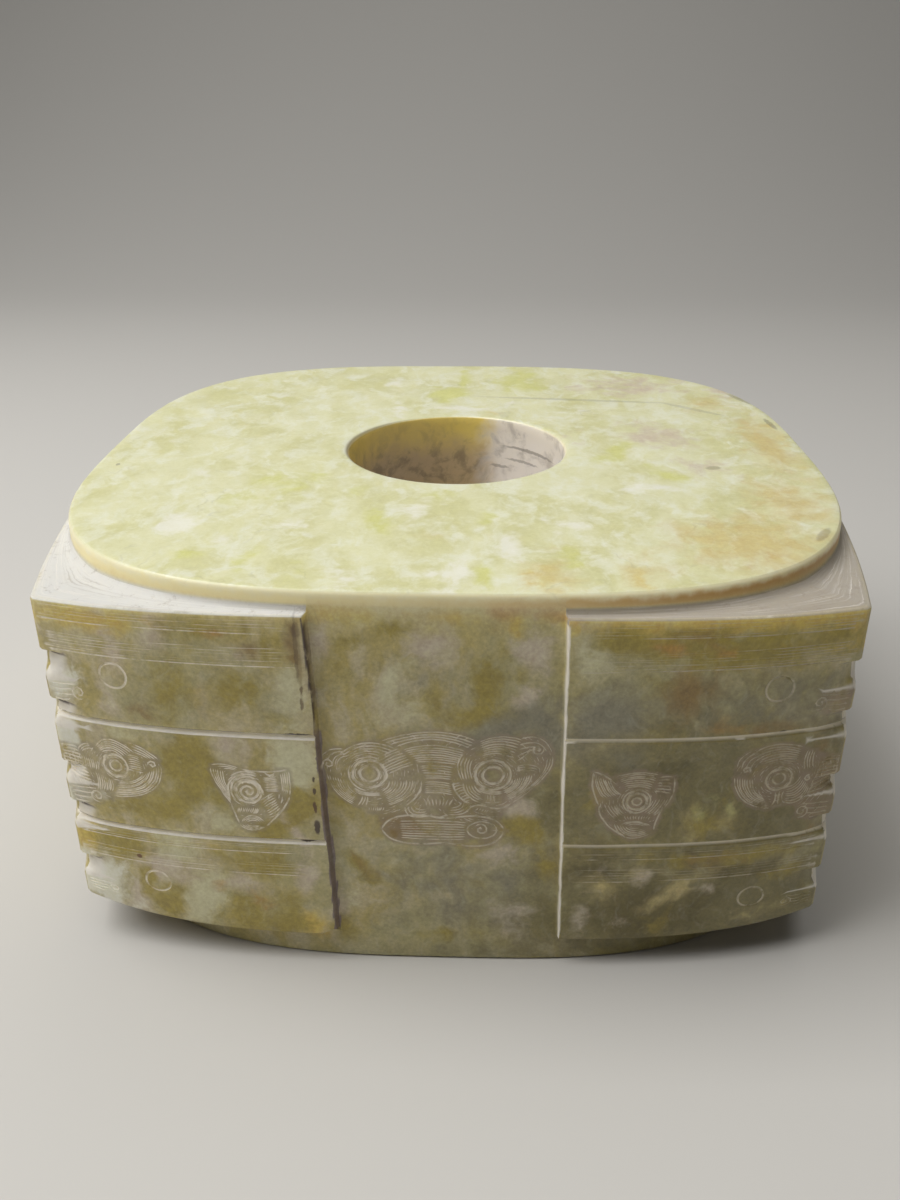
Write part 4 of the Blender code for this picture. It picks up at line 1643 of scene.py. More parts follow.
TOP_SPOTS: Spots = {
    Tint.WHITE: (
        (-57, -53, 4, 6), (-8, -45, 6, 9, 0.6), (0, -78, 7, 7, 0.75), (-20, -79, 5, 6, 0.62),
        (12, -65, 3.5, 8, 0.7),
        (25, -52, 5, 6, 0.65), (-17, 32, 3, 9, 0.75), (-20, 62, 4, 8, 0.7), (-34, -55, 6, 5, 0.6),
        (45, -30, 8, 6, 0.6),
        (2, 34, 10, 4, 0.7), (-60, -20, 5, 6, 0.5), (30, 30, 8, 8, 0.5), (14, 40, 4, 6, 0.6),
        (-46, -62, 3, 5, 0.6),
    ),
    Tint.LIME: (
        (-38, -28, 9, 9, 0.7), (-15, -52, 2.5, 8, 0.8, 15), (-21, -33, 3, 5, 0.7), (-3, -36, 4, 5, 0.65),
        (-38, -72, 3, 8, 0.7), (-52, -70, 3, 7, 0.6), (8, -50, 2.5, 6, 0.7), (7, -78, 2, 6, 0.8),
        (17, 66, 9, 16, 0.75),
        (-4, 50, 6, 9, 0.85), (0.5, 68, 2, 14, 0.8), (40, -3, 3, 10, 0.8, -30), (50, -20, 3, 9, 0.75, 30),
        (-28, -78, 3, 6, 0.6), (24, -70, 3, 7, 0.6), (-62, 8, 8, 10, 0.4), (-60, 66, 6, 6, 0.4),
        (-48, -38, 5, 6, 0.6),
    ),
    Tint.YELLOW: ((8, 30, 4, 5, 0.5), (18, -80, 4, 8, 0.55), (36, -80, 3, 8, 0.5), (82, 5, 3, 26, 0.55)),
    Tint.AMBER: (
        (62, -60, 15, 14, 0.85), (74, -38, 9, 16, 0.75), (79, 4, 6, 28, 0.8), (20, -76, 6, 10, 0.6),
        (38, -76, 6, 9, 0.6), (70, 42, 7, 14, 0.5), (-2, -60, 10, 10, 0.3),
    ),
    Tint.RUST: ((60, -70, 9, 3, 0.4, 40),),
    Tint.ASH: (
        (53, 12, 10, 12, 0.75), (60, -14, 7, 8, 0.7), (50, 62, 17, 13, 0.7), (78, 52, 5, 12, 0.6),
        (30, 10, 5, 9, 0.4),
    ),
}

HIDDEN_TINTS = (Tint.OLIVE, Tint.ASH, Tint.CREAM, Tint.YELLOW, Tint.OLIVE, Tint.MOSS_AND_SHADE, Tint.RUST)


@dataclass
class Patches:
    """Every tinted place on the stone. Those on the sides that don't show are drawn by lot."""

    height: float
    hidden_count: int = 26
    hidden_top: Patch = Patch(Tint.YELLOW, (0.0, 86.0), (70.0, 4.0), 0.6)
    seed: int = 29

    def __post_init__(self) -> None:
        """Lays the patches out by side."""
        lot = random.Random(self.seed)
        self.top = self.listed(TOP_SPOTS)
        self.sides = [self.listed(LEFT_BLOCK_SPOTS, BAND_SPOTS, RIGHT_BLOCK_SPOTS)]
        for _ in range(1, SIDES):
            drawn = []
            for number in range(self.hidden_count):
                tint = HIDDEN_TINTS[number % len(HIDDEN_TINTS)]
                middle = (lot.uniform(-78.0, 78.0), lot.uniform(8.0, 84.0))
                reach = (lot.uniform(3.0, 11.0), lot.uniform(3.0, 9.0))
                drawn.append(Patch(tint, middle, reach, lot.uniform(0.5, 1.0), lot.uniform(-30, 30)))
            self.sides.append(drawn + [self.hidden_top])

    def listed(self, *tables: Spots) -> list[Patch]:
        """The patches of some tables of spots."""
        rows = [(tint, spot) for table in tables for tint, spots in table.items() for spot in spots]
        return [Patch(tint, spot[:2], spot[2:4], *spot[4:]) for tint, spot in rows]

    def marks_at(self, spot: Vector) -> dict[str, float]:
        """The tints at a point of the stone.

        Args:
            spot: the point, in millimetres.

        Returns:
            Shares from 0 to 1 by the name of the mark.
        """
        if spot.z > self.height - 0.5:
            near, place = self.top, (spot.x, spot.y)
        else:
            side = round(math.atan2(spot.x, -spot.y) / (math.tau / SIDES)) % SIDES
            flat = Matrix.Rotation(-side * math.tau / SIDES, 3, "Z") @ spot
            near, place = self.sides[side], (flat.x, flat.z)
        marks: dict[str, float] = {}
        for patch in near:
            marks[patch.tint.mark] = max(marks.get(patch.tint.mark, 0.0), patch.share(place))
        return marks


MARKS = ("groove", "rubbed", "chalk_and_highlight", "soil_and_shade", "bore", "rim", "shelf", *(tint.mark for tint in Tint))


@dataclass
class Stone:
    """The whole carved stone: four sheets and the skin, welded, worn and scaled to metres."""

    outline: Outline
    name: str = "carved_cong"
    wear: float = 0.05
    figures_seed: int = 5

    def __post_init__(self) -> None:
        """Starts the empty shell."""
        self.shell = bmesh.new()
        layers = self.shell.verts.layers.float
        self.marks = {name: layers.new(name) for name in MARKS}

    def point(self, spot: Vector, marks: dict[str, float]) -> bmesh.types.BMVert:
        """Adds one marked point to the shell.

        Args:
            spot: its place, in millimetres.
            marks: its marks by name.

        Returns:
            The point.
        """
        vert = self.shell.verts.new(spot)
        for name, share in marks.items():
            vert[self.marks[name]] = share
        return vert

    def weld(self) -> None:
        """Joins the sheets and the skin into one closed shell."""
        shell = self.shell
        bmesh.ops.remove_doubles(shell, verts=shell.verts, dist=WELD)
        bmesh.ops.dissolve_degenerate(shell, edges=shell.edges, dist=WELD)
        gaps = [edge for edge in shell.edges if edge.is_boundary]
        bmesh.ops.holes_fill(shell, edges=gaps, sides=4)
        bmesh.ops.recalc_face_normals(shell, faces=shell.faces)
        open_edges = sum(1 for edge in shell.edges if len(edge.link_faces) != 2)
        log.info("open or crowded edges: %d", open_edges)

    def rub_down(self) -> None:
        """Lets the surface wander a little below its true place, as hand grinding leaves it."""
        self.shell.normal_update()
        moves = []
        for vert in self.shell.verts:
            broad = noise.noise(vert.co / 14.0)
            close = noise.noise(vert.co / 4.5 + Vector((9.0, 2.0, 5.0)))
            moves.append(vert.normal * -self.wear * max(0.0, 1.45 + broad + 0.45 * close))
        for vert, move in zip(self.shell.verts, moves):
            vert.co += move
            vert.co.z = max(0.0, vert.co.z)

    def build(self) -> bpy.types.Object:
        """Makes the stone.

        Returns:
            Its object, at the origin, in metres.
        """
        Skin(self.outline).add_to(self)
        for side in range(SIDES):
            figures = SideFigures(plain=side != 0, seed=self.figures_seed + side)
            strokes = figures.fine_strokes() + figures.header_strokes(self.outline, side)
            SideSheet(self.outline, side, strokes).add_to(self)
        self.weld()
        tints = Patches(self.outline.sizes.height)
        for vert in self.shell.verts:
            for name, share in tints.marks_at(vert.co).items():
                vert[self.marks[name]] = share
        self.rub_down()
        bmesh.ops.scale(self.shell, vec=(MILLIMETRE,) * 3, verts=self.shell.verts)
        mesh = bpy.data.meshes.new(self.name)
        self.shell.to_mesh(mesh)
        self.shell.free()
        mesh.shade_smooth()
        mesh.set_sharp_from_angle(angle=SHARP_ANGLE)
        stone = bpy.data.objects.new(self.name, mesh)
        bpy.context.scene.collection.objects.link(stone)
        triangles = sum(len(face.vertices) - 2 for face in mesh.polygons)
        log.info("%s: %d triangles", self.name, triangles)
        return stone


def linear(code: str) -> tuple[float, float, float, float]:
    """An sRGB hex colour as linear red, green, blue and alpha.

    Args:
        code: the colour, with a leading #.

    Returns:
        The four values, from 0 to 1.
    """
    values = []
    for k in range(0, 6, 2):
        value = int(code.lstrip("#")[k : k + 2], 16) / 255.0
        values.append(value / 12.92 if value <= 0.04045 else ((value + 0.055) / 1.055) ** 2.4)
    return (values[0], values[1], values[2], 1.0)


def per_metre(millimetres: float) -> float:
    """The scale that gives a pattern one cycle in so many millimetres."""
    return 1.0 / (millimetres * MILLIMETRE)


@dataclass(frozen=True)
class Fleck:
    """A small dark or pale place that is too fine for the stone's points, in millimetres."""

    middle: Point3
    reach: Point3
    colour: str
    strength: float = 0.9
    turn: float = 0.0


# Polished nephrite jade: a tight felt of fibres with a waxy, half-deep gloss. It gives the eye
# cream clouds in yellow green, darker olive drifts, and iron browns where water got in.
@dataclass(frozen=True)
class PolishedNephrite:
    """The stone's finish: its colours, among them some painted light and shade, its gloss, the depth of its
    light and its flecks.
    """

    side_olive: str = "#B2A262"
    side_ash: str = "#C4B893"
    side_green: str = "#B1A97C"
    # The next two colours are a painted glow near the top of the sides, standing in for light that enters
    # the top and shows through.
    painted_side_glow: str = "#D6C88A"
    painted_edge_glow: str = "#F1E6B8"
    top_pale: str = "#DCDAB0"
    top_olive: str = "#D0CD98"
    top_cloud: str = "#E4E4CC"
    fibre: str = "#E0DEC8"
    vein: str = "#7F7B6A"
    rubbed: str = "#9A8D77"
    rubbed_right: str = "#A18D7D"
    line_pale: str = "#F2EADB"
    line_grey: str = "#CDC4B0"
    # The next colour is chalk, and it is also laid as a painted highlight on the blocks' upper edges, the
    # seams and the right wall.
    chalk_and_highlight: str = "#EFE9DD"
    chalk_shade: str = "#BDB3A4"
    ledge_pale: str = "#CFCECB"
    ledge_grey: str = "#A1998F"
    ledge_dirt: str = "#85796E"
    ledge_streak: str = "#E4DFD8"
    # The next colour is soil, and it is also laid as painted shade under the notch overhangs, over the left
    # seams and along the blocks' lower edges.
    soil_and_shade: str = "#4A3733"
    # The next three colours are the top collar's wall: a painted highlight at its rounded edge, beige, and
    # a brown that is partly painted shade at the ledge.
    rim_highlight: str = "#FAF3D0"
    rim_beige: str = "#FDF0B8"
    rim_brown_and_shade: str = "#D2A456"
    # The next colour is the ochre under the bore's lip, partly a painted glow of light coming through the
    # thin rim.
    bore_ochre_and_glow: str = "#F0D878"
    bore_deep: str = "#C2AC87"
    bore_grey: str = "#85775F"
    bore_pink: str = "#F6EFE6"
    bore_vein: str = "#80766F"
    roughness: float = 0.30
    bending: float = 1.61
    light_share: float = 0.5
    light_reach: Point3 = (1.0, 0.85, 0.45)
    light_scale: float = 0.003
    flecks: tuple[Fleck, ...] = (
        Fleck((-25.9, -86.5, 36.3), (0.6, 4.0, 1.7), "#3B2620"),
        Fleck((-26.1, -86.5, 41.2), (0.4, 4.0, 1.4), "#5A3A22"),
        Fleck((-26.0, -86.5, 45.2), (0.35, 4.0, 0.8), "#4C3526"),
        Fleck((-26.0, -86.5, 48.0), (0.3, 4.0, 0.6), "#4C3526"),
        Fleck((-27.2, -86.5, 65.5), (0.3, 4.0, 1.3), "#5A4028", 0.7),
        Fleck((-27.1, -86.5, 68.6), (0.25, 4.0, 0.9), "#5A4028", 0.7),
        Fleck((-27.6, -86.5, 77.5), (0.4, 4.0, 7.0), "#5A4632", 0.5),
        Fleck((-28.6, -86.5, 80.0), (1.6, 4.0, 3.0), "#6A5236", 0.25),
        Fleck((-27.4, -86.5, 81.3), (0.9, 4.0, 1.6), "#5E4836", 0.4),
        Fleck((19.5, 17.0, 81.3), (9.0, 10.0, 0.40), "#80776F", 0.6),
        Fleck((-27.1, -86.5, 74.0), (0.4, 4.0, 9.0), "#8A7650", 0.35),
        Fleck((11.5, 24.0, 75.4), (2.6, 4.0, 0.40), "#80776F", 0.5),
        Fleck((18.0, 20.0, 77.9), (6.0, 5.0, 0.35), "#80776F", 0.5),
        # These three dark lines just above the seams are painted shade under the upper register's lip.
        Fleck((-28.6, -86.5, 58.5), (2.6, 4.0, 0.35), "#2E2226"),
        Fleck((-28.0, -86.5, 32.6), (1.6, 4.0, 0.3), "#3A2A26"),
        Fleck((65.5, -86.5, 58.6), (1.1, 4.0, 0.3), "#2E2420"),
        Fleck((-65.0, -83.0, 25.0), (0.6, 4.0, 0.5), "#6A3F22"),
        Fleck((62.0, -15.0, 88.7), (1.8, 1.2, 2.0), "#8D866C", 0.5, 20.0),
        Fleck((-82.0, -16.0, 88.7), (0.5, 0.8, 2.0), "#8D8670", 0.6),
        Fleck((84.5, 22.0, 88.4), (0.8, 5.0, 1.6), "#5F5548", 0.45, 5.0),
        Fleck((81.5, 47.0, 88.4), (0.9, 6.0, 1.6), "#6E6657", 0.4, 22.0),
        Fleck((76.5, -56.0, 88.4), (1.0, 4.0, 1.6), "#7A6A54", 0.4, -30.0),
        Fleck((33.0, 45.0, 88.7), (27.0, 1.0, 2.0), "#8A8672", 0.3, -6.0),
        Fleck((66.0, 36.0, 88.7), (10.0, 1.1, 2.0), "#8A8672", 0.28, -40.0),
    )

    def make(self) -> bpy.types.Material:
        """Builds the material.

        Returns:
            Polished nephrite jade, with its worn, chalky and soiled places.
        """
        material = bpy.data.materials.new("polished_nephrite_jade")
        material.use_nodes = True
        nodes = NephriteNodes(self, material.node_tree)
        colour = nodes.body_colour()
        for layer in (
            nodes.tinted,
            nodes.painted_lit_edge,
            nodes.grained,
            nodes.fibres_and_veins,
            nodes.rim_colour,
            nodes.bore_colour,
            nodes.worn_colour,
            nodes.flecked,
        ):
            colour = layer(colour)
        nodes.finish(colour)
        return material


class Kind(Enum):
    """A kind of node: its type, its settings, the inputs that it is given and its output."""

    PLACE = ("TexCoord", {}, (), "Object")
    ACROSS = ("SeparateXYZ", {}, (0,), "X")
    UP = ("SeparateXYZ", {}, (0,), "Z")
    MARK = ("Attribute", {}, (), "Fac")
    SWIRL = ("TexNoise", {}, ("Vector", "Scale", "Detail"), "Color")
    NOISE = ("TexNoise", {"noise_dimensions": "4D"}, ("Vector", "Scale", "Detail", "W", "Roughness"), 0)
    STRETCH = ("Mapping", {}, ("Vector", "Scale", "Rotation"), 0)
    BLOT = ("Mapping", {"vector_type": "TEXTURE"}, ("Vector", "Location", "Scale", "Rotation"), 0)
    CENTRED = ("VectorMath", {"operation": "SUBTRACT"}, (0, 1), 0)
    SHIFTED = ("VectorMath", {"operation": "MULTIPLY_ADD"}, (0, 1, 2), 0)
    LENGTH = ("VectorMath", {"operation": "LENGTH"}, (0,), "Value")
    RAMP = (
        "MapRange",
        {"interpolation_type": "SMOOTHSTEP"},
        ("Value", "From Min", "From Max", "To Max"),
        "Result",
    )
    BLEND = ("Mix", {"data_type": "RGBA"}, (0, 6, 7), 2)
    OVERLAY = ("Mix", {"data_type": "RGBA", "blend_type": "OVERLAY"}, (0, 6, 7), 2)
    PLUS = ("Math", {"operation": "ADD"}, (0, 1), 0)
    MINUS = ("Math", {"operation": "SUBTRACT"}, (0, 1), 0)
    TIMES = ("Math", {"operation": "MULTIPLY"}, (0, 1), 0)
    TIMES_PLUS = ("Math", {"operation": "MULTIPLY_ADD"}, (0, 1, 2), 0)
    LARGER = ("Math", {"operation": "MAXIMUM"}, (0, 1), 0)
    ABSOLUTE = ("Math", {"operation": "ABSOLUTE"}, (0,), 0)
    BUMP = ("Bump", {}, ("Height", "Distance", "Strength"), 0)

    def __init__(
        self,
        title: str,
        settings: dict[str, str],
        inputs: tuple[str | int, ...],
        output: str | int,
    ) -> None:
        """Keeps the node's type and what is set, given and taken under their own names."""
        self.type = "ShaderNode" + title
        self.settings = settings
        self.inputs = inputs
        self.output = output


@dataclass
class NephriteNodes:
    """The nodes of the stone's material. A colour goes through its layers from first to last."""

    look: PolishedNephrite
    tree: bpy.types.NodeTree

    def __post_init__(self) -> None:
        """Adds the nodes that all layers share: the place on the stone, its parts and its swirl."""
        self.place = self.add(Kind.PLACE)
        self.up = self.add(Kind.UP, self.place)
        self.across = self.add(Kind.ACROSS, self.place)
        swirl = self.add(Kind.SWIRL, self.place, per_metre(14.0), 4.0)
        centred = self.add(Kind.CENTRED, swirl, (0.5, 0.5, 0.5))
        self.pushed = self.add(Kind.SHIFTED, centred, (0.014,) * 3, self.place)

    def add(self, kind: Kind, *values: object, **settings: str) -> bpy.types.NodeSocket:
        """Adds a node with its settings and links.

        Args:
            kind: the kind of node.
            values: a value, a hex colour or another node's socket for each of its inputs in turn.
            settings: further settings of the node, by name.

        Returns:
            The node's output.
        """
        node = self.tree.nodes.new(kind.type)
        for name, setting in {**kind.settings, **settings}.items():
            setattr(node, name, setting)
        for name, value in zip(kind.inputs, values):
            if isinstance(value, bpy.types.NodeSocket):
                self.tree.links.new(value, node.inputs[name])
            else:
                node.inputs[name].default_value = linear(value) if isinstance(value, str) else value
        return node.outputs[kind.output]

    def clouds(
        self,
        place: object,
        pattern: tuple[float, float, float, float],
        low: float,
        high: float,
        top: float = 1.0,
    ) -> bpy.types.NodeSocket:
        """Clouds with gentle edges, from noise.

        Args:
            place: where the noise is sampled.
            pattern: its size in millimetres, detail, number and roughness.
            low: the noise's value where a cloud begins.
            high: its value where the cloud is whole.
            top: the cloud's share where it is whole.

        Returns:
            The cloud's share.
        """
        size, detail, number, roughness = pattern
        cloudy = self.add(Kind.NOISE, place, per_metre(size), detail, number, roughness)
        return self.add(Kind.RAMP, cloudy, low, high, top)

    def marked(self, name: str, low: float, high: float, top: float = 1.0) -> bpy.types.NodeSocket:
        """Where the stone's points carry a mark, with gentle edges.

        Args:
            name: the mark.
            low: how much of it shows nothing.
            high: how much of it shows fully.
            top: the share there.

        Returns:
            The share.
        """
        return self.add(Kind.RAMP, self.add(Kind.MARK, attribute_name=name), low, high, top)

    def body_colour(self) -> bpy.types.NodeSocket:
        """The jade's own colours, streaked olive and ash on the sides and pale and clouded on top, with a
        painted glow near the top of the sides.

        Returns:
            The colour.
        """
        streaked = self.add(Kind.STRETCH, self.pushed, (1.0, 1.0, 0.42))
        streak = self.clouds(streaked, (5.5, 5.0, 1.0, 0.55), 0.38, 0.62)
        side = self.add(Kind.BLEND, streak, self.look.side_olive, self.look.side_ash)
        drift = self.clouds(self.pushed, (24.0, 4.0, 2.0, 0.55), 0.45, 0.62, 0.8)
        side = self.add(Kind.BLEND, drift, side, self.look.side_green)
        # Painted glow: the sides grow paler and warmer towards the top, standing in for light that enters
        # the top face and shows through.
        painted_glow = self.add(Kind.RAMP, self.up, 0.0730, 0.0870, 0.55)
        side = self.add(Kind.BLEND, painted_glow, side, self.look.painted_side_glow)
        drawn = self.add(Kind.STRETCH, self.pushed, (1.0, 0.6, 1.0))
        drift = self.clouds(drawn, (12.0, 4.0, 3.0, 0.55), 0.40, 0.64)
        top = self.add(Kind.BLEND, drift, self.look.top_pale, self.look.top_olive)
        cloud = self.clouds(drawn, (5.0, 6.0, 4.0, 0.62), 0.44, 0.66, 0.8)
        top = self.add(Kind.BLEND, cloud, top, self.look.top_cloud)
        upper = self.add(Kind.RAMP, self.up, 0.0872, 0.0885)
        return self.add(Kind.BLEND, upper, side, top)

    def tinted(self, colour: object) -> bpy.types.NodeSocket:
        """The tints that the stone's points carry, each with a cloudy, broken edge.

        Args:
            colour: the colour below this layer.

        Returns:
            The colour with it.
        """
        for number, tint in enumerate(Tint):
            reach = mix(0.8, 1.6, tint.rag)
            pattern = 60.0 + 7.0 * (number % 4)
            cloudy = self.add(Kind.NOISE, self.pushed, per_metre(5.5), 4.0, pattern, 0.56)
            cloudy = self.add(Kind.TIMES_PLUS, cloudy, reach, -reach / 2)
            share = self.add(Kind.PLUS, self.add(Kind.MARK, attribute_name=tint.mark), cloudy)
            half = mix(0.38, 0.15, tint.rag)
            share = self.add(Kind.RAMP, share, 0.5 - half, 0.5 + half, 0.92)
            present = self.marked(tint.mark, 0.0, 0.25)
            share = self.add(Kind.TIMES, share, present)
            colour = self.add(Kind.BLEND, share, colour, tint.colour)
        return colour

    def painted_lit_edge(self, colour: object) -> bpy.types.NodeSocket:
        """A painted glow under the top's edge, standing in for light that sinks into the stone at the top
        and comes out again.

        Args:
            colour: the colour below this layer.

        Returns:
            The colour with it.
        """
        painted_glow = self.add(Kind.RAMP, self.up, 0.0818, 0.0884, 0.72)
        below = self.add(Kind.RAMP, self.up, 0.0886, 0.0880)
        return self.add(Kind.BLEND, self.add(Kind.TIMES, painted_glow, below), colour, self.look.painted_edge_glow)

    def grained(self, colour: object) -> bpy.types.NodeSocket:
        """The felted grain: fine lighter and darker specks that keep the colour's hue.

        Args:
            colour: the colour below this layer.

        Returns:
            The colour with it.
        """
        fine = self.add(Kind.NOISE, self.place, per_metre(0.9), 4.0, 71.0, 0.75)
        broad = self.add(Kind.NOISE, self.place, per_metre(3.6), 3.0, 73.0, 0.55)
        both = self.add(Kind.TIMES_PLUS, fine, 1.3, -0.65)
        both = self.add(Kind.TIMES_PLUS, broad, 0.7, both)
        both = self.add(Kind.PLUS, both, 0.15)
        share = self.add(Kind.PLUS, self.add(Kind.RAMP, self.up, 0.0885, 0.0872, 0.18), 0.22)
        return self.add(Kind.OVERLAY, share, colour, both)

    def fibres_and_veins(self, colour: object) -> bpy.types.NodeSocket:
        """The pale slanting fibres, the fine grain and the thin dark veins.

        Args:
            colour: the colour below this layer.

        Returns:
            The colour with it.
        """
        slanted = self.add(Kind.STRETCH, self.pushed, (1.0, 0.3, 0.5), (0.5, 0.35, 0.75))
        fibre = self.clouds(slanted, (1.6, 3.0, 5.0, 0.55), 0.50, 0.78, 0.14)
        colour = self.add(Kind.BLEND, fibre, colour, self.look.fibre)
        lines = self.add(Kind.NOISE, self.pushed, per_metre(34.0), 3.0, 11.0, 0.55)
        away = self.add(Kind.MINUS, lines, 0.5)
        vein = self.add(Kind.RAMP, self.add(Kind.ABSOLUTE, away), 0.006, 0.0)
        broken = self.clouds(self.pushed, (12.0, 2.0, 13.0, 0.55), 0.52, 0.62, 0.14)
        return self.add(Kind.BLEND, self.add(Kind.TIMES, vein, broken), colour, self.look.vein)

    def rim_colour(self, colour: object) -> bpy.types.NodeSocket:
        """The top collar's wall: a painted highlight at its edge, beige below it, browner towards the right
        and at the ledge, where the brown is partly painted shade.

        Args:
            colour: the colour below this layer.

        Returns:
            The colour with it.
        """
        ragged = self.add(Kind.NOISE, self.place, per_metre(3.5), 4.0, 21.0, 0.55)
        shift = self.add(Kind.TIMES_PLUS, ragged, 0.003, self.up)
        # Towards the ledge the wall turns brown, partly as painted shade where it meets the ledge.
        low = self.add(Kind.RAMP, shift, 0.0884, 0.0866)
        patchy = self.clouds(self.place, (14.0, 3.0, 23.0, 0.55), 0.38, 0.62)
        # A painted highlight on the rim's rounded edge.
        highlight_share = self.add(Kind.RAMP, shift, 0.0898, 0.0880)
        right = self.add(Kind.RAMP, self.across, -0.02, 0.05)
        patchy = self.add(Kind.TIMES, patchy, 0.35)
        brown_and_shade = self.add(Kind.LARGER, self.add(Kind.TIMES, low, patchy), right)
        rim = self.add(Kind.BLEND, brown_and_shade, self.look.rim_beige, self.look.rim_brown_and_shade)
        rim = self.add(Kind.BLEND, highlight_share, self.look.rim_highlight, rim)
        share = self.add(Kind.TIMES, self.add(Kind.MARK, attribute_name="rim"), 0.88)
        return self.add(Kind.BLEND, share, colour, rim)

    def bore_colour(self, colour: object) -> bpy.types.NodeSocket:
        """The bore's wall: ochre under the lip, partly a painted glow of light through the thin rim, brown
        further in, pinkish and veined at the right.

        Args:
            colour: the colour below this layer.

        Returns:
            The colour with it.
        """
        ragged = self.add(Kind.NOISE, self.pushed, per_metre(6.0), 4.0, 33.0, 0.6)
        shift = self.add(Kind.TIMES_PLUS, ragged, 0.008, self.up)
        # The ochre under the lip is partly a painted glow of light coming through the thin rim.
        depth = self.add(Kind.RAMP, shift, 0.0905, 0.0800)
        wall = self.add(Kind.BLEND, depth, self.look.bore_ochre_and_glow, self.look.bore_deep)
        mottled = self.clouds(self.pushed, (5.0, 5.0, 35.0, 0.65), 0.45, 0.65, 0.55)
        mottled = self.add(Kind.TIMES, mottled, self.add(Kind.PLUS, depth, 0.25))
        wall = self.add(Kind.BLEND, mottled, wall, self.look.bore_grey)
        sideways = self.add(Kind.TIMES_PLUS, ragged, 0.012, self.across)
        right = self.add(Kind.RAMP, sideways, 0.010, 0.018, 0.92)
        wall = self.add(Kind.BLEND, right, wall, self.look.bore_pink)
        stained = self.add(Kind.RAMP, ragged, 0.46, 0.66, 0.45)
        wall = self.add(Kind.BLEND, self.add(Kind.TIMES, stained, right), wall, self.look.bore_vein)
        colour = self.add(Kind.BLEND, self.marked("bore", 0.3, 0.9), colour, wall)
        begun = self.marked("bore", 0.0, 0.4)
        lip = self.add(Kind.TIMES, begun, self.marked("bore", 0.95, 0.5))
        left = self.add(Kind.RAMP, self.across, -0.010, -0.024, 0.6)
        return self.add(Kind.BLEND, self.add(Kind.TIMES, lip, left), colour, self.look.bore_grey)

    def worn_colour(self, colour: object) -> bpy.types.NodeSocket:
        """The marks of carving and age: rubbed figures, chalky cuts and soil in the corners, with painted
        highlights laid as chalk and painted shade laid as soil.

        Args:
            colour: the colour below this layer.

        Returns:
            The colour with it.
        """
        uneven = self.add(Kind.NOISE, self.place, per_metre(2.4), 5.0, 41.0, 0.65)
        patchy = self.add(Kind.RAMP, uneven, 0.35, 0.65, 0.40)
        rubbed = self.marked("rubbed", 0.15, 0.95)
        rubbed = self.add(Kind.TIMES, rubbed, self.add(Kind.PLUS, patchy, 0.30))
        right = self.add(Kind.RAMP, self.across, -0.035, 0.035)
        ground = self.add(Kind.BLEND, right, self.look.rubbed, self.look.rubbed_right)
        colour = self.add(Kind.BLEND, rubbed, colour, ground)
        shade = self.add(Kind.RAMP, uneven, 0.40, 0.72, 0.3)
        chalk_colour = self.add(Kind.BLEND, shade, self.look.chalk_and_highlight, self.look.chalk_shade)
        ledge = self.add(Kind.BLEND, right, self.look.ledge_pale, self.look.ledge_grey)
        dirt = self.clouds(self.place, (2.2, 6.0, 45.0, 0.75), 0.53, 0.70, 0.55)
        across = self.add(Kind.TIMES, self.add(Kind.MARK, attribute_name="shelf"), 0.40)
        across = self.add(Kind.TIMES_PLUS, uneven, 0.035, across)
        scratch = self.add(Kind.NOISE, self.place, per_metre(18.0), 6.0, across, 0.7)
        worn = self.add(Kind.RAMP, scratch, 0.52, 0.68, 0.55)
        ledge = self.add(Kind.BLEND, worn, ledge, self.look.ledge_streak)
        grimy = self.add(Kind.RAMP, scratch, 0.47, 0.32, 0.45)
        ledge = self.add(Kind.BLEND, self.add(Kind.LARGER, dirt, grimy), ledge, self.look.ledge_dirt)
        high = self.add(Kind.RAMP, self.up, 0.0826, 0.0834)
        chalk_colour = self.add(Kind.BLEND, high, chalk_colour, ledge)
        # The chalk mark also carries painted highlights on the blocks' upper edges, the seams and the right
        # wall.
        chalk_and_highlight = self.marked("chalk_and_highlight", 0.1, 0.8, 0.92)
        colour = self.add(Kind.BLEND, chalk_and_highlight, colour, chalk_colour)
        lines = self.marked("groove", 0.05, 0.60)
        lines = self.add(Kind.TIMES, lines, self.add(Kind.RAMP, uneven, 0.30, 0.57, 0.9))
        line_colour = self.add(Kind.BLEND, right, self.look.line_pale, self.look.line_grey)
        colour = self.add(Kind.BLEND, lines, colour, line_colour)
        # The soil mark also carries painted shade under the notch overhangs, over the left seams and along
        # the blocks' lower edges.
        broken = self.add(Kind.RAMP, uneven, 0.36, 0.50, 0.95)
        soil_and_shade = self.add(Kind.TIMES, self.marked("soil_and_shade", 0.1, 0.9), broken)
        return self.add(Kind.BLEND, soil_and_shade, colour, self.look.soil_and_shade)

    def flecked(self, colour: object) -> bpy.types.NodeSocket:
        """The small chips and stains, and three dark lines of painted shade over the seams, each a blot
        with a ragged edge.

        Args:
            colour: the colour below this layer.

        Returns:
            The colour with it.
        """
        rag = self.add(Kind.SWIRL, self.place, per_metre(1.2), 3.0)
        torn = self.add(Kind.SHIFTED, rag, (0.0008,) * 3, self.place)
        for fleck in self.look.flecks:
            middle = [(v + 0.4) * MILLIMETRE for v in fleck.middle]
            reach = [v * MILLIMETRE for v in fleck.reach]
            if fleck.turn:
                turn = (0.0, 0.0, math.radians(fleck.turn))
                inside = self.add(Kind.BLOT, torn, middle, reach, turn)
            else:
                scale = [1 / r for r in reach]
                offset = [-m / r for m, r in zip(middle, reach)]
                inside = self.add(Kind.SHIFTED, torn, scale, offset)
            away = self.add(Kind.LENGTH, inside)
            share = self.add(Kind.RAMP, away, 1.25, 0.75, fleck.strength)
            colour = self.add(Kind.BLEND, share, colour, fleck.colour)
        return colour

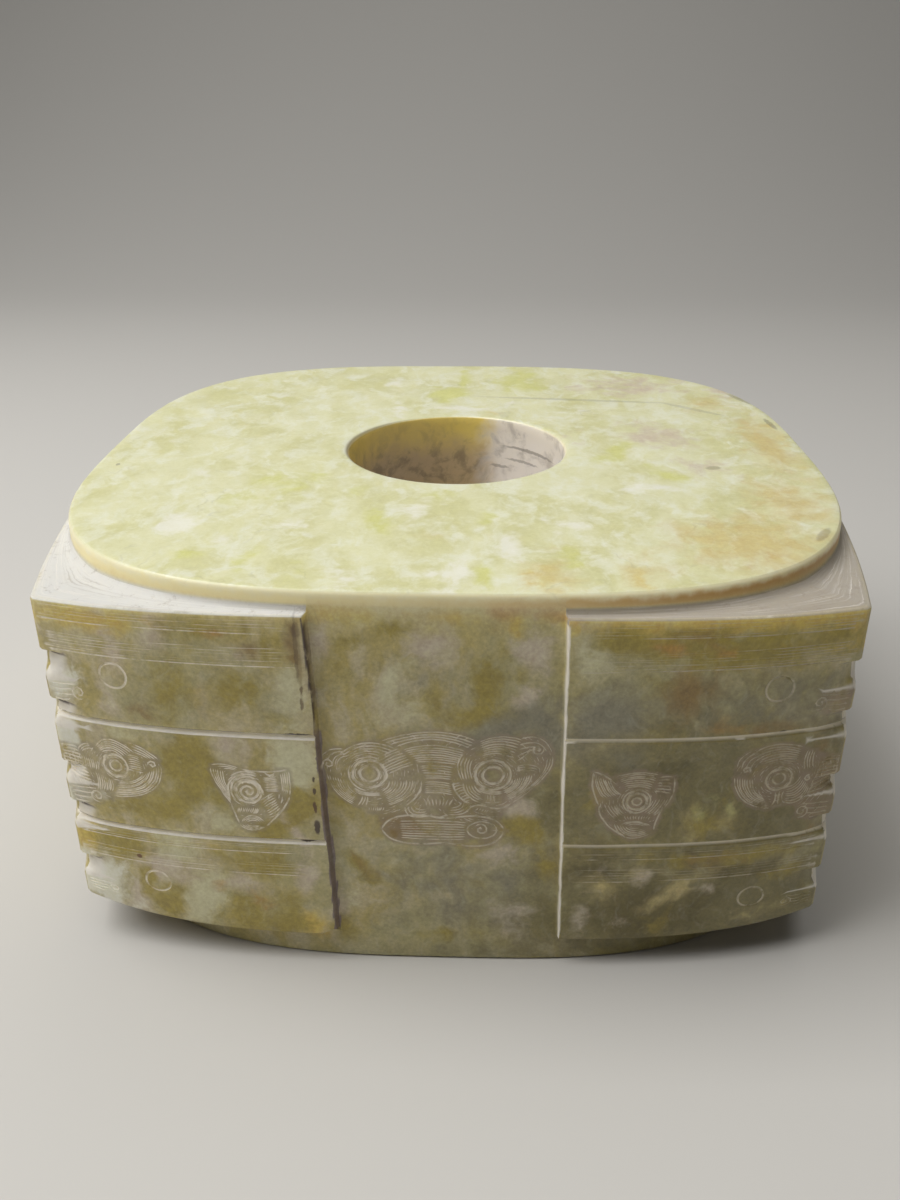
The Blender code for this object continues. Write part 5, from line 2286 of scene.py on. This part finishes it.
    def finish(self, colour: object) -> None:
        """Sets the gloss, the depth of light in the stone and its finest relief.

        Args:
            colour: the stone's colour, through all its layers.
        """
        cloudy = self.add(Kind.NOISE, self.place, per_metre(8.0), 3.0, 51.0, 0.55)
        rough = self.add(Kind.RAMP, cloudy, 0.3, 0.7, 0.12)
        rough = self.add(Kind.PLUS, rough, self.look.roughness)
        chalky = self.add(Kind.TIMES, self.add(Kind.MARK, attribute_name="chalk_and_highlight"), 0.4)
        rubbed = self.add(Kind.TIMES, self.add(Kind.MARK, attribute_name="rubbed"), 0.22)
        worn = self.add(Kind.LARGER, chalky, rubbed)
        rough = self.add(Kind.PLUS, rough, worn)
        fine = self.add(Kind.NOISE, self.place, per_metre(0.9), 3.0, 61.0, 0.55)
        broad = self.add(Kind.NOISE, self.place, per_metre(5.0), 3.0, 63.0, 0.55)
        both = self.add(Kind.TIMES_PLUS, broad, 1.2, fine)
        bump = self.add(Kind.BUMP, both, 0.00004, 0.6)
        shader = self.tree.nodes["Principled BSDF"]
        for name, value in (("Base Color", colour), ("Roughness", rough), ("Normal", bump)):
            self.tree.links.new(value, shader.inputs[name])
        shader.subsurface_method = "BURLEY"
        shader.inputs["IOR"].default_value = self.look.bending
        shader.inputs["Subsurface Weight"].default_value = self.look.light_share
        shader.inputs["Subsurface Radius"].default_value = self.look.light_reach
        shader.inputs["Subsurface Scale"].default_value = self.look.light_scale


# Matt studio paint: even and pale, it gives the eye only the stone's soft shadow.
@dataclass(frozen=True)
class MattPaint:
    """The floor's finish."""

    colour: str = "#C9C6C0"
    roughness: float = 0.9
    shine: float = 0.2

    def make(self) -> bpy.types.Material:
        """Builds the material.

        Returns:
            Matt studio paint.
        """
        material = bpy.data.materials.new("matt_studio_paint")
        material.use_nodes = True
        shader = material.node_tree.nodes["Principled BSDF"]
        shader.inputs["Base Color"].default_value = linear(self.colour)
        shader.inputs["Roughness"].default_value = self.roughness
        shader.inputs["Specular IOR Level"].default_value = self.shine
        return material


@dataclass(frozen=True)
class Studio:
    """The plain pale floor, the soft light and the camera at the photograph's viewing angle."""

    paint: MattPaint = MattPaint()
    floor_reach: float = 2.5
    sweep_start: float = 0.7
    sweep_radius: float = 0.8
    camera_place: tuple[float, float, float] = (6.548, -254.818, 170.758)
    pitch: float = 26.25
    yaw: float = -1.87
    roll: float = 0.13
    focal_pixels: float = 1040.08
    frame_height: float = 1200.0
    sensor: float = 36.0

    def floor(self) -> bpy.types.Object:
        """The floor, which curves up behind the stone into a plain backdrop.

        Returns:
            Its object, with its paint.
        """
        shell = bmesh.new()
        bmesh.ops.create_grid(shell, x_segments=1, y_segments=96, size=self.floor_reach)
        start, radius = self.sweep_start, self.sweep_radius
        for vert in shell.verts:
            past = vert.co.y - start
            if past > 0.0:
                turn = min(past / radius, math.pi / 2)
                beyond = past - radius * turn
                vert.co.y = start + radius * math.sin(turn)
                vert.co.z = radius * (1.0 - math.cos(turn)) + beyond
        mesh = bpy.data.meshes.new("floor")
        shell.to_mesh(mesh)
        shell.free()
        mesh.shade_smooth()
        mesh.materials.append(self.paint.make())
        floor = bpy.data.objects.new("floor", mesh)
        bpy.context.scene.collection.objects.link(floor)
        return floor

    def light(
        self, name: str, place: Point3, size: float, power: float, tint: str = "#FFFFFF"
    ) -> None:
        """A square soft light that faces the stone.

        Args:
            name: the light's name.
            place: where it hangs, in metres.
            size: its width in metres.
            power: its power in watts.
            tint: its colour.
        """
        data = bpy.data.lights.new(name, "AREA")
        data.shape = "SQUARE"
        data.size = size
        data.energy = power
        data.color = linear(tint)[:3]
        lamp = bpy.data.objects.new(name, data)
        lamp.location = place
        aim = Vector((0.0, 0.0, 0.05)) - Vector(place)
        lamp.rotation_euler = aim.to_track_quat("-Z", "Y").to_euler()
        bpy.context.scene.collection.objects.link(lamp)

    def lights(self) -> None:
        """A broad light high at the front left, a weak one overhead, and an even sky."""
        self.light("key", (-0.55, -0.15, 0.90), 0.75, 10.0)
        self.light("overhead", (0.05, 0.12, 1.10), 1.0, 4.4)
        world = bpy.data.worlds.new("studio_sky")
        world.use_nodes = True
        sky = world.node_tree.nodes["Background"]
        sky.inputs["Color"].default_value = linear("#F4F4F2")
        sky.inputs["Strength"].default_value = 0.09
        bpy.context.scene.world = world

    def camera(self) -> None:
        """The camera, with the photograph's place, angle and field of view."""
        pitch, yaw, roll = (math.radians(v) for v in (self.pitch, self.yaw, self.roll))
        forward = Vector(
            (math.sin(yaw) * math.cos(pitch), math.cos(yaw) * math.cos(pitch), -math.sin(pitch))
        )
        level = Vector((math.cos(yaw), -math.sin(yaw), 0.0))
        down = forward.cross(level)
        right = level * math.cos(roll) + down * math.sin(roll)
        upward = level * math.sin(roll) - down * math.cos(roll)
        turn = Matrix((right, upward, -forward)).transposed()
        data = bpy.data.cameras.new("camera")
        data.sensor_width = self.sensor
        data.lens = self.focal_pixels / self.frame_height * self.sensor
        data.clip_start = 0.01
        camera = bpy.data.objects.new("camera", data)
        camera.matrix_world = (
            Matrix.Translation(Vector(self.camera_place) * MILLIMETRE) @ turn.to_4x4()
        )
        bpy.context.scene.collection.objects.link(camera)
        bpy.context.scene.camera = camera

    def build(self) -> None:
        """Sets up the whole studio."""
        self.floor()
        self.lights()
        self.camera()
        bpy.context.scene.view_settings.view_transform = "Standard"


def main() -> None:
    """Builds the studio and the stone, and dresses the stone."""
    logging.basicConfig(level=logging.INFO, format="%(name)s: %(message)s")
    noise.seed_set(NOISE_SEED)
    Studio().build()
    stone = Stone(Outline(CongSizes())).build()
    stone.data.materials.append(PolishedNephrite().make())
    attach(stone, "root")
    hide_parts("jade_cong")
    log.info("%s rides on root and stands for jade_cong", stone.name)


if __name__ == "__main__":
    main()
